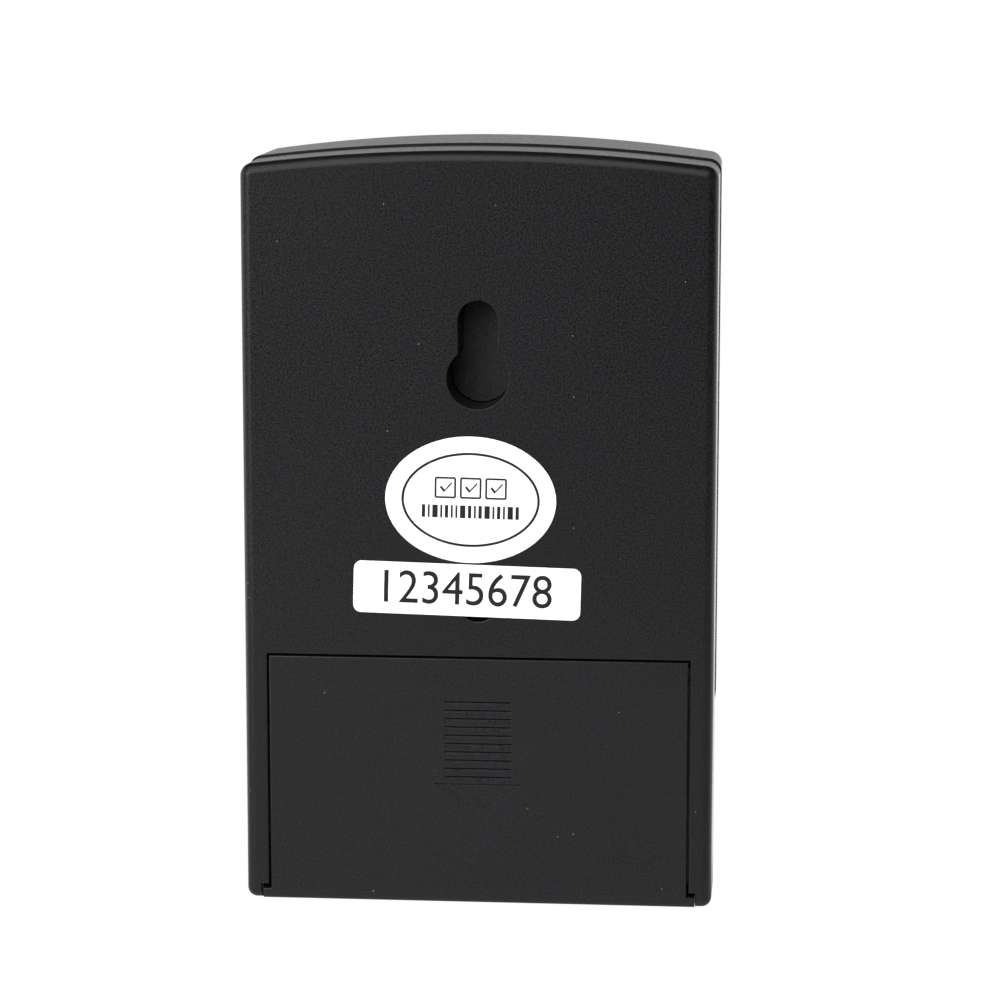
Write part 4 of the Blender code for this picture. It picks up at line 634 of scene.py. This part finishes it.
front = {
    "lens": (54.0, 40.0, 3.0),    # width, height and corner
    "lensThickness": 1.2,
    "ledge": 2.0,
    "frontWall": 28.0,
    "slots": 5,
    "slotWidth": 1.2,
    "slotPitch": 2.4,
    "sounderRadius": 6.0,
    "lip": 0.25,
}
lensZ = middleOf("display_lens")[2]
sounderZ = middleOf("sounder")[2]
lampX, _, lampZ = middleOf("lamp_light_pipe")
keys = {  # x, z, width and height of each key
    "mode": (-18.0, middleOf("mode_button")[2], 12.5, 6.4),
    "set": (0.0, middleOf("set_button")[2], 12.5, 6.4),
    "sound": (18.0, middleOf("sound_button")[2], 12.5, 6.4),
    "power": (0.0, middleOf("power_button")[2], 9.6, 9.6),
}


def makeFrontShell():
    wall, rear, depth, lip = case["wall"], case["rearDepth"], case["depth"], front["lip"]
    start = rear + case["groove"][0]
    tongue = wall + 0.3
    rings = []
    for i in range(9):
        angle = math.radians(90 * i / 8)
        rings.append(frontRing(depth - case["frontEdge"] * (1 - math.cos(angle)),
                               case["frontEdge"] * (1 - math.sin(angle))))
    rings.append(frontRing(start + case["partingChamfer"], 0.0))
    rings.append(frontRing(start, case["partingChamfer"]))
    rings.append(rearRing(start, case["groove"][1]))
    rings.append(rearRing(rear + 0.3, case["groove"][1]))
    rings.append(rearRing(rear + 0.3, tongue))
    rings.append(rearRing(rear - 1.8, tongue))
    rings.append(rearRing(rear - 1.8, tongue + 1.0))
    rings.append(rearRing(start, tongue + 1.0))
    rings.append(frontRing(start + 1.8, wall))
    rings.append(frontRing(front["frontWall"], wall))
    mesh = bmesh.new()
    loft(mesh, rings)
    shell = newObject("front_shell", mesh, caseAbs)
    cutter = bmesh.new()
    clear = case["half"] - wall - 0.1
    block(cutter, (-clear, clear), (rear - 1.8 - wall, start + 2.6), (wall + 0.05, bayBottom + wall))
    carve(shell, cutter)
    posts = bmesh.new()
    embed = front["frontWall"] + 0.5
    turned(posts, 0, screwZ, ((bayFloor - 1.5, 3.3), (embed, 3.3)))
    for name in ("case_screw_left", "case_screw_right"):
        x, _, z = middleOf(name)
        turned(posts, x, z, ((bayFloor + 1.8, 2.8), (embed, 2.8)))
    for name in ("lower_left", "lower_right", "upper_left", "upper_right"):
        x, _, z = middleOf("board_screw_" + name)
        turned(posts, x, z, ((22.9, 2.0), (embed, 2.0)), 24)
    carve(shell, posts, "UNION")
    pilots = bmesh.new()
    turned(pilots, 0, screwZ, ((bayFloor - 3.5, 1.6), (bayFloor + 8.5, 1.6)), 24)
    for name in ("case_screw_left", "case_screw_right"):
        x, _, z = middleOf(name)
        turned(pilots, x, z, ((bayFloor - 0.5, 1.3), (bayFloor + 9.5, 1.3)), 24)
    for name in ("lower_left", "lower_right", "upper_left", "upper_right"):
        x, _, z = middleOf("board_screw_" + name)
        turned(pilots, x, z, ((20.9, 1.3), (25.8, 1.3)), 24)
    carve(shell, pilots)
    width, height, corner = front["lens"]
    cutter = bmesh.new()
    lippedPrism(cutter, lambda grow: roundedBox(0, lensZ, width + 0.6 + 2 * grow, height + 0.6 + 2 * grow,
                                                corner + 0.3 + grow),
                depth, depth - front["lensThickness"] - 0.3, lip, -1)
    carve(shell, cutter)
    holes = bmesh.new()
    ledge = front["ledge"]
    prism(holes, roundedBox(0, lensZ, width - 2 * ledge, height - 2 * ledge, corner - ledge / 2),
          (front["frontWall"] - 1, depth + 2))
    for x, z, keyWidth, keyHeight in keys.values():
        lippedPrism(holes, lambda grow: roundedBox(x, z, keyWidth + 0.6 + 2 * grow, keyHeight + 0.6 + 2 * grow,
                                                   keyHeight / 2 + 0.29 + grow),
                    depth, front["frontWall"] - 1, lip, -1)
    for i in range(front["slots"]):
        offset = (i - (front["slots"] - 1) / 2) * front["slotPitch"]
        reach = math.sqrt((front["sounderRadius"] + front["slotWidth"] / 2) ** 2 - offset ** 2)
        lippedPrism(holes, lambda grow: roundedBox(0, sounderZ + offset, 2 * reach + 2 * grow,
                                                   front["slotWidth"] + 2 * grow,
                                                   front["slotWidth"] / 2 - 0.01 + grow, 6),
                    depth, front["frontWall"] - 1, lip, -1)
    lippedPrism(holes, lambda grow: circle(lampX, lampZ, 1.8 + grow, 32), depth, front["frontWall"] - 1, lip, -1)
    carve(shell, holes)
    settle(shell, "case", "front_case")


makeFrontShell()
print("front shell moulded")


door = {
    "thickness": 1.8,
    "edge": 0.2,          # rounding of its outer edges
    "wing": 1.0,
    "rib": 1.1,
    "grips": 10,
    "gripPitch": 1.27,
    "gripWidth": 10.0,
    "gripDish": 0.16,     # each grip is a shallow ramp that ends in a narrow groove
    "gripRamp": 1.05,
    "gripGroove": (0.45, 0.26),  # depth and height of that groove
    "gripTop": 6.45,      # below the door's top edge
    "arrow": (13.1, 5.1, 0.2),
    "arrowBelow": 1.1,
}


def makeDoor():
    sink, edge = case["sink"], door["edge"]
    flangeHalf = doorHalf + flange["overhang"]

    def doorOutline(inset, foot=0.0):
        flat = flange["thickness"] - inset
        side, wide = doorHalf - inset, flangeHalf - inset
        low = inset + foot
        half = [(wide, low), (wide, flat), (side, flat), (side, doorTop - inset)]
        return half + [(-x, z) for x, z in reversed(half)]

    levels = []
    radius = flange["footRadius"]
    for i in range(9):
        angle = math.radians(90 * i / 8)
        depth = sink + radius * (1 - math.cos(angle))
        inset = max(edge - math.sqrt(max(edge ** 2 - (edge - (depth - sink)) ** 2, 0.0)), 0.0)
        if depth - sink > edge:
            inset = 0.0
        levels.append((depth, inset, radius * (1 - math.sin(angle)) - inset))
    levels.append((door["thickness"], 0.0, 0.0))
    mesh = bmesh.new()
    loft(mesh, [[at(x, depth, z) for x, z in doorOutline(inset, max(foot, 0.0))]
                for depth, inset, foot in levels])
    panel = newObject("door_panel", mesh, doorAbs)
    added = bmesh.new()
    block(added, (-flangeHalf, flangeHalf), (door["thickness"] / 2, case["rearDepth"] - 0.3),
          (0, flange["thickness"]))
    carve(panel, added, "UNION")
    added = bmesh.new()
    low, high = bayBottom - 0.7, doorTop - 1.2
    for side in (-1, 1):
        block(added, sorted((side * (doorHalf - door["rib"]), side * doorHalf)),
              (door["thickness"] / 2, 3.3), (low, high))
    carve(panel, added, "UNION")
    added = bmesh.new()
    for side in (-1, 1):
        block(added, sorted((side * (doorHalf - door["rib"] / 2), side * (doorHalf + door["wing"]))),
              (2.3, 3.29), (low, high))
    carve(panel, added, "UNION")
    cutter = bmesh.new()
    first = doorTop - door["gripTop"]
    for i in range(door["grips"]):
        z = first - i * door["gripPitch"]
        dish, out = sink + door["gripDish"], sink - 0.02
        deep, tall = door["gripGroove"]
        ramp = door["gripRamp"] * (dish - out) / door["gripDish"]
        profile = ((sink + deep, z), (out, z), (out, z - ramp), (dish, z - tall))
        loft(cutter, [[at(x, depth, height) for depth, height in profile]
                      for x in (-door["gripWidth"] / 2, door["gripWidth"] / 2)])
    base = first - (door["grips"] - 1) * door["gripPitch"] - door["arrowBelow"]
    width, length, deep = door["arrow"]
    points = [cutter.verts.new(at(x, depth, z)) for x, depth, z in (
        (-width / 2, sink + deep, base), (width / 2, sink + deep, base), (-width / 2, sink - 1, base),
        (width / 2, sink - 1, base), (0, sink - 0.02, base - length), (0, sink - 1, base - length))]
    for corners in ((0, 1, 4), (3, 2, 5), (0, 2, 3, 1), (0, 4, 5, 2), (1, 3, 5, 4)):
        cutter.faces.new([points[i] for i in corners])
    carve(panel, cutter)
    cutter = bmesh.new()
    groove, tall = door["gripGroove"]
    block(cutter, (-width / 2, width / 2), (sink - 0.02, sink + groove), (base - tall, base))
    carve(panel, cutter)
    settle(panel, "door", "battery_door")


makeDoor()


def makeFoamPad():
    x, depth, z = middleOf("door_foam_pad")
    low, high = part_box("door_foam_pad")
    width, height = (high.x - low.x) / mm, (high.z - low.z) / mm
    thick = (high.y - low.y) / mm
    mesh = bmesh.new()
    columns, rows = 48, 28
    grid = {}
    for face in (0, 1):
        for i in range(columns + 1):
            for j in range(rows + 1):
                u, v = 2 * i / columns - 1, 2 * j / rows - 1
                fade = (1 - abs(u) ** 14) * (1 - abs(v) ** 14)
                swell = thick / 2 * (0.72 + 0.28 * fade ** 0.5)
                ripple = 0.02 * math.sin(11 * u + 3 * v) * math.sin(9 * v - 2 * u) * fade
                grid[face, i, j] = mesh.verts.new(at(x + u * width / 2, depth + (swell * 0.98 + ripple) * (2 * face - 1),
                                                     z + v * height / 2))
    for face in (0, 1):
        for i in range(columns):
            for j in range(rows):
                mesh.faces.new((grid[face, i, j], grid[face, i + 1, j], grid[face, i + 1, j + 1],
                                grid[face, i, j + 1]))
    for i in range(columns):
        for j in (0, rows):
            mesh.faces.new((grid[0, i, j], grid[0, i + 1, j], grid[1, i + 1, j], grid[1, i, j]))
    for j in range(rows):
        for i in (0, columns):
            mesh.faces.new((grid[0, i, j], grid[0, i, j + 1], grid[1, i, j + 1], grid[1, i, j]))
    pad = newObject("foam_pad", mesh, foam)
    settle(pad, "door", "door_foam_pad", 60)


makeFoamPad()
print("battery door fitted")


stickers = {
    "ink": 0.012,         # the print's thickness
    "ovalSize": (25.3, 18.9),
    "ovalTilt": 1.0,
    "ringInset": (2.4, 2.4),
    "ringWidth": 0.38,
    "serialSize": (33.8, 7.8, 1.2),
    "serialTilt": 1.4,
    "digits": "12345678",
    "digitSpan": (24.96, 4.95),
}


def makeSticker(name, node, outlineAt):
    top, bottom, edge = stickers["ink"], case["sink"] + 0.01, 0.03
    mesh = bmesh.new()
    levels = ((bottom, 0.0), (top + edge, 0.0), (top + edge * 0.3, -edge * 0.35), (top, -edge))
    loft(mesh, [[at(x, depth, z) for x, z in outlineAt(grow)] for depth, grow in levels])
    return settle(newObject(name, mesh, labelPaper), "case", node)


def printed(name, outlines, holes=()):
    mesh = bmesh.new()
    for outline in outlines:
        prism(mesh, outline, (0.0, stickers["ink"] * 1.5))
    mark = newObject(name, mesh, printInk)
    for outline in holes:
        cutter = bmesh.new()
        prism(cutter, outline, (-1.0, 1.0))
        carve(mark, cutter)
    return settle(mark, "case")


def ellipse(x, z, halfWidth, halfHeight, tilt, segments=120):
    turns = [2 * math.pi * i / segments for i in range(segments)]
    return tilted([(x + halfWidth * math.cos(a), z + halfHeight * math.sin(a)) for a in turns], x, z, tilt)


def makeOvalSticker():
    x, _, z = middleOf("oval_label")
    width, height = stickers["ovalSize"]
    tilt = math.radians(stickers["ovalTilt"])
    makeSticker("oval_sticker", "oval_label",
                lambda grow: ellipse(x, z, width / 2 + grow, height / 2 + grow, tilt))
    ringX, ringZ = width / 2 - stickers["ringInset"][0], height / 2 - stickers["ringInset"][1]
    line = stickers["ringWidth"]
    printed("oval_ring_print", [ellipse(x, z, ringX, ringZ, tilt)],
            [ellipse(x, z, ringX - line, ringZ - line, tilt)])
    # three ticked boxes over a row of bars, standing for a checked-by mark
    strokes = []
    for i in (-1, 0, 1):
        cx, cz, size, pen = x - i * 3.75, z + 1.75, 2.9, 0.3
        half = size / 2
        for side in (-1, 1):
            strokes.append([(cx - half, cz + side * half - pen / 2), (cx + half, cz + side * half - pen / 2),
                            (cx + half, cz + side * half + pen / 2), (cx - half, cz + side * half + pen / 2)])
            strokes.append([(cx + side * half - pen / 2, cz - half), (cx + side * half + pen / 2, cz - half),
                            (cx + side * half + pen / 2, cz + half), (cx + side * half - pen / 2, cz + half)])
        strokes.append([(cx + 0.85, cz + 0.05), (cx + 0.6, cz + 0.3), (cx + 0.1, cz - 0.3), (cx + 0.22, cz - 0.72)])
        strokes.append([(cx + 0.22, cz - 0.72), (cx + 0.1, cz - 0.3), (cx - 0.9, cz + 0.85), (cx - 1.0, cz + 0.6)])
    widths = (0.5, 0.3, 0.8, 0.3, 0.5, 0.3, 0.3, 0.8, 0.5, 0.3, 0.5, 0.8, 0.3, 0.5, 0.3, 0.8, 0.5)
    gap = 0.38
    across = sum(widths) + gap * (len(widths) - 1)
    left = x + across / 2
    for bar in widths:
        strokes.append([(left - bar, z - 2.75), (left, z - 2.75), (left, z - 0.85), (left - bar, z - 0.85)])
        left -= bar + gap
    strokes = [tilted(stroke, x, z, tilt) for stroke in strokes]
    mesh = bmesh.new()
    for stroke in strokes:
        prism(mesh, stroke, (0.0, stickers["ink"] * 1.5))
    settle(newObject("oval_marks_print", mesh, printInk), "case")


def makeSerialSticker():
    x, _, z = middleOf("serial_label")
    width, height, corner = stickers["serialSize"]
    tilt = math.radians(stickers["serialTilt"])
    makeSticker("serial_sticker", "serial_label",
                lambda grow: tilted(roundedBox(x, z, width + 2 * grow, height + 2 * grow, corner + grow), x, z, tilt))
    # plain counting digits
    words = bpy.data.curves.new("digits", "FONT")
    words.body = stickers["digits"]
    words.extrude = 0.5
    words.resolution_u = 8
    text = bpy.data.objects.new("digits", words)
    scene.collection.objects.link(text)
    bpy.context.view_layer.update()
    data = bpy.data.meshes.new_from_object(text.evaluated_get(bpy.context.evaluated_depsgraph_get()))
    bpy.data.objects.remove(text, do_unlink=True)
    xs = [v.co.x for v in data.vertices]
    ys = [v.co.y for v in data.vertices]
    spanX, spanZ = stickers["digitSpan"]
    centreX, centreZ = 1.45, z + 0.22
    cos, sin = math.cos(tilt), math.sin(tilt)
    for vertex in data.vertices:
        u = (0.5 - (vertex.co.x - min(xs)) / (max(xs) - min(xs))) * spanX
        v = ((vertex.co.y - min(ys)) / (max(ys) - min(ys)) - 0.5) * spanZ
        depth = 0.0 if vertex.co.z > 0 else stickers["ink"] * 1.5
        vertex.co = at(centreX + u * cos - v * sin, depth, centreZ + u * sin + v * cos)
    mesh = bmesh.new()
    mesh.from_mesh(data)
    bpy.data.meshes.remove(data)
    settle(newObject("serial_digits_print", mesh, printInk), "case")


makeOvalSticker()
makeSerialSticker()
print("stickers stuck on")


display = {
    "border": 4.0,        # printed mask round the window
    "digitHeight": 13.0,
    "digitWidth": 7.0,
    "stroke": 1.35,
    "reading": "012",
}


def makeDisplay():
    depth = case["depth"]
    width, height, corner = front["lens"]
    mesh = bmesh.new()
    levels = [(depth - front["lensThickness"], 0.0), (depth - 0.2, 0.0), (depth - 0.06, -0.06), (depth, -0.2)]
    loft(mesh, [[at(x, level, z) for x, z in roundedBox(0, lensZ, width + 2 * grow, height + 2 * grow, corner + grow)]
                for level, grow in levels])
    settle(newObject("lens_window", mesh, lensAcrylic), "case", "display_lens")
    mask = bmesh.new()
    maskDepth = depth - front["lensThickness"] - 0.06
    prism(mask, roundedBox(0, lensZ, width - 0.2, height - 0.2, corner - 0.1), (maskDepth, maskDepth + 0.04))
    piece = newObject("lens_mask_print", mask, maskInk)
    cutter = bmesh.new()
    prism(cutter, roundedBox(0, lensZ, width - 2 * display["border"], height - 2 * display["border"], 1.0), (0, 40))
    carve(piece, cutter)
    settle(piece, "case")
    # seven-segment figures, two small bars and a cell outline, as a plain readout has
    lit = {"0": "abcdef", "1": "bc", "2": "abged"}
    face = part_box("display_glass")[0].y
    faceDepth = (backY - face) / mm
    marks = bmesh.new()
    tall, wide, pen = display["digitHeight"], display["digitWidth"], display["stroke"]
    nib = pen / 2

    def barAcross(cx, cz):
        half = wide / 2 - nib * 1.15
        return [(cx - half, cz), (cx - half + nib, cz - nib), (cx + half - nib, cz - nib), (cx + half, cz),
                (cx + half - nib, cz + nib), (cx - half + nib, cz + nib)]

    def barUp(cx, cz):
        half = tall / 4 - nib * 0.65
        return [(cx, cz - half), (cx + nib, cz - half + nib), (cx + nib, cz + half - nib), (cx, cz + half),
                (cx - nib, cz + half - nib), (cx - nib, cz - half + nib)]

    for i, figure in enumerate(display["reading"]):
        cx, cz = -12.0 + i * 11.0, lensZ - 1.5
        right, left = cx + wide / 2 - nib, cx - wide / 2 + nib
        bars = {"a": barAcross(cx, cz + tall / 2 - nib), "g": barAcross(cx, cz),
                "d": barAcross(cx, cz - tall / 2 + nib), "b": barUp(right, cz + tall / 4),
                "c": barUp(right, cz - tall / 4), "f": barUp(left, cz + tall / 4),
                "e": barUp(left, cz - tall / 4)}
        for bar in lit[figure]:
            prism(marks, bars[bar], (faceDepth, faceDepth + 0.03))
    prism(marks, circle(-6.5, lensZ - 1.5 - tall / 2 + 0.7, 0.75, 20), (faceDepth, faceDepth + 0.03))
    for i in range(14):
        prism(marks, roundedBox(-18.5 + i * 2.2, lensZ + 11.5, 1.5, 1.6 if i < 5 else 0.6, 0.2, 3),
              (faceDepth, faceDepth + 0.03))
    for side in (-1, 1):
        prism(marks, roundedBox(17.5, lensZ + 11.5 + side * 1.3, 5.4, 0.35, 0.1, 2), (faceDepth, faceDepth + 0.03))
        prism(marks, roundedBox(17.5 + side * 2.6, lensZ + 11.5, 0.35, 2.4, 0.1, 2), (faceDepth, faceDepth + 0.03))
    for i in range(3):
        prism(marks, roundedBox(16.0 + i * 1.5, lensZ + 11.5, 1.0, 1.6, 0.1, 2), (faceDepth, faceDepth + 0.03))
    settle(newObject("lcd_figures", marks, liquidCrystal), "case")


makeDisplay()


keyShape = {"flange": 0.8, "flangeThickness": 1.0, "proud": 0.8, "edge": 0.45, "dish": 0.18}


def makeKeys():
    top = case["depth"] + keyShape["proud"]
    under = front["frontWall"] - 0.6 - keyShape["flangeThickness"]
    for name, (x, z, width, height) in keys.items():
        steps = [(under, keyShape["flange"]), (under + keyShape["flangeThickness"], keyShape["flange"]),
                 (under + keyShape["flangeThickness"], 0.0), (top - keyShape["edge"], 0.0)]
        for i in range(1, 7):
            angle = math.radians(90 * i / 6)
            steps.append((top - keyShape["edge"] * (1 - math.sin(angle)), -keyShape["edge"] * (1 - math.cos(angle))))
        for i in range(1, 9):  # a shallow finger dish
            share = i / 9
            grow = -keyShape["edge"] - (height / 2 - keyShape["edge"] - 0.1) * share
            steps.append((top - keyShape["dish"] * math.sin(math.pi / 2 * share) ** 2, grow))
        cap = bmesh.new()
        loft(cap, [[at(px, depth, pz) for px, pz in
                    roundedBox(x, z, width + 2 * grow, height + 2 * grow, height / 2 + grow - 0.01, 10)]
                   for depth, grow in steps])
        settle(newObject(name + "_key_cap", cap, keyRubber), name + "_key", name + "_button", 50)


makeKeys()


def makeKeyMarks():
    face = case["depth"] - 0.01
    mesh = bmesh.new()

    def mark(outline):
        prism(mesh, outline, (face, face + 0.02))

    modeX, keyRow = keys["mode"][0], keys["mode"][1]
    above = keyRow + keys["mode"][3] / 2 + 1.75
    for i in (-1, 0, 1):  # three short lines: the list of modes
        mark(roundedBox(modeX, above + i * 0.6, 2.6, 0.28, 0.1, 2))
    mark(circle(0, above, 0.75, 28))  # a dot: set
    soundX = keys["sound"][0]
    mark([(soundX + 0.2, above - 0.45), (soundX + 1.0, above - 0.45), (soundX + 1.0, above + 0.45),
          (soundX + 0.2, above + 0.45)])
    mark([(soundX + 0.2, above - 0.45), (soundX + 0.2, above + 0.45), (soundX - 0.5, above + 1.0),
          (soundX - 0.5, above - 1.0)])
    powerZ = keys["power"][1] + keys["power"][3] / 2 + 1.9
    arc = [math.radians(130 + 280 * i / 24) for i in range(25)]
    for first, second in zip(arc, arc[1:]):
        mark([(r * math.cos(a), powerZ + r * math.sin(a)) for a, r in
              ((first, 1.1), (second, 1.1), (second, 0.82), (first, 0.82))])
    mark(roundedBox(0, powerZ + 0.75, 0.28, 1.3, 0.1, 2))
    settle(newObject("key_marks_print", mesh, keyPrint), "case")


makeKeyMarks()
print("front dressed")


# printed foil jacket round a steel can: two plain colours, a thin band
def cellJacket():
    made = surface("shrunkFoilJacket", "#2c3a49", "#344455", 7, 0.3, 0.003, (0.24, 0.34),
                   {"Metallic": 0.35, "Coat Weight": 0.4, "Coat Roughness": 0.12})
    return made["material"]


jacket = cellJacket()
band = surface("copperTintedFoil", "#b07a3c", "#c48d4b", 7, 0.3, 0.003, (0.22, 0.32), {"Metallic": 0.8})["material"]
canSteel = surface("nickelPlatedCan", "#a9a8a2", "#cbcac4", 3, 0.2, 0.003, (0.22, 0.34), {"Metallic": 1.0})["material"]


def makeCell(name, node, x, z, side):
    radius, length = cell["radius"], cell["length"]
    plus = x + side * length / 2
    shoulder = plus - side * cell["nubLength"]
    minus = x - side * length / 2
    mesh = bmesh.new()
    steps = [(plus, 0.4), (plus, cell["nubRadius"] - 0.3), (plus - side * 0.1, cell["nubRadius"] - 0.08),
             (plus - side * 0.3, cell["nubRadius"]), (shoulder + side * 0.1, cell["nubRadius"]),
             (shoulder, cell["nubRadius"] + 0.2), (shoulder - side * 0.15, radius - 1.3),
             (shoulder - side * 0.02, radius - 1.0), (shoulder, radius - 0.7),
             (shoulder - side * 0.15, radius - 0.25), (shoulder - side * 0.5, radius),
             (shoulder - side * 11.0, radius), (minus + side * 0.5, radius),
             (minus + side * 0.12, radius - 0.3), (minus, radius - 0.8), (minus + side * 0.25, radius - 1.2),
             (minus + side * 0.25, radius - 2.4), (minus, radius - 2.7), (minus, 0.4)]
    turnedAlongX(mesh, cellDepth, z, steps)
    piece = newObject(name, mesh, canSteel)
    piece.data.materials.append(jacket)
    piece.data.materials.append(band)
    for polygon in piece.data.polygons:
        away = abs(polygon.center.x / mm - plus)
        out = math.hypot((backY - polygon.center.y) / mm - cellDepth, polygon.center.z / mm - z)
        if out > radius - 0.75:
            polygon.material_index = 2 if away < 11.5 + cell["nubLength"] - 1 and away > cell["nubLength"] else 1
    settle(piece, "case", node)


upperSide = 1 if abs(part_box("upper_cell")[1].x) > abs(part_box("upper_cell")[0].x) else -1
makeCell("upper_aa_cell", "upper_cell", upperX, upperZ, upperSide)
makeCell("lower_aa_cell", "lower_cell", lowerX, lowerZ, -upperSide)
print("cells in")


# circuit board and the other carried-over nodes -----------------------------

# glass-epoxy board under green solder mask: copper tracks show through as paler raised lines
def solderMask():
    made = surface("greenSolderMask", "#0f4a26", "#155a30", 9, 0.25, 0.003, (0.24, 0.34), {"IOR": 1.5})
    tree, shader = made["tree"], made["shader"]
    tracks = addNode(tree, "ShaderNodeTexBrick",
                     {"Scale": 1 / (6 * mm), "Mortar Size": 0.05, "Mortar Smooth": 0.2, "Brick Width": 1.4,
                      "Row Height": 0.32, "offset": 0.35}, None)
    flat = addNode(tree, "ShaderNodeMapping", {"Rotation": (math.pi / 2, 0, 0)}, {"Vector": made["place"]})
    tree.links.new(flat.outputs[0], tracks.inputs["Vector"])
    copper = addNode(tree, "ShaderNodeMix", {"data_type": "RGBA", 7: toLinear("#2c8147")},
                     {0: tracks.outputs["Fac"], 6: made["tone"]})
    tree.links.new(copper.outputs[2], shader.inputs["Base Color"])
    raised = addNode(tree, "ShaderNodeBump", {"Strength": 1.0, "Distance": 0.03 * mm},
                     {"Height": tracks.outputs["Fac"], "Normal": made["bump"].outputs[0]})
    tree.links.new(raised.outputs[0], shader.inputs["Normal"])
    return made["material"]


carried = {
    "main_board": solderMask(),
    "upper_cell_spring": springSteel, "lower_cell_spring": springSteel,
    "positive_contact": contactStrip, "negative_contact": contactStrip, "bridge_contact": contactStrip,
    "red_lead": redPvc, "black_lead": blackPvc,
    "display_glass": displayGlass, "display_frame": holderPlastic, "display_backlight": diffuser,
    "lower_zebra_strip": contactRubber, "upper_zebra_strip": contactRubber,
    "hv_transformer": ferrite, "hv_capacitor": filmCapacitor, "processor_chip": chipEpoxy,
    "clock_crystal": canMetal, "filter_capacitor": canMetal, "counting_tube": tubeGlass,
    "tube_cap_left": capMetal, "tube_cap_right": capMetal, "tube_clip_left": contactStrip,
    "tube_clip_right": contactStrip, "sounder": sounderPlastic, "count_lamp": lampBody,
    "lamp_light_pipe": pipeAcrylic,
}
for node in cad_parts:
    if "screw" in node:
        carried[node] = screwSteel
    elif node.endswith("_switch"):
        carried[node] = switchPlastic
    elif node.endswith("_plunger"):
        carried[node] = plungerPlastic
for node, material in carried.items():
    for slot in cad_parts[node].material_slots:
        slot.material = material
print("inside finished")
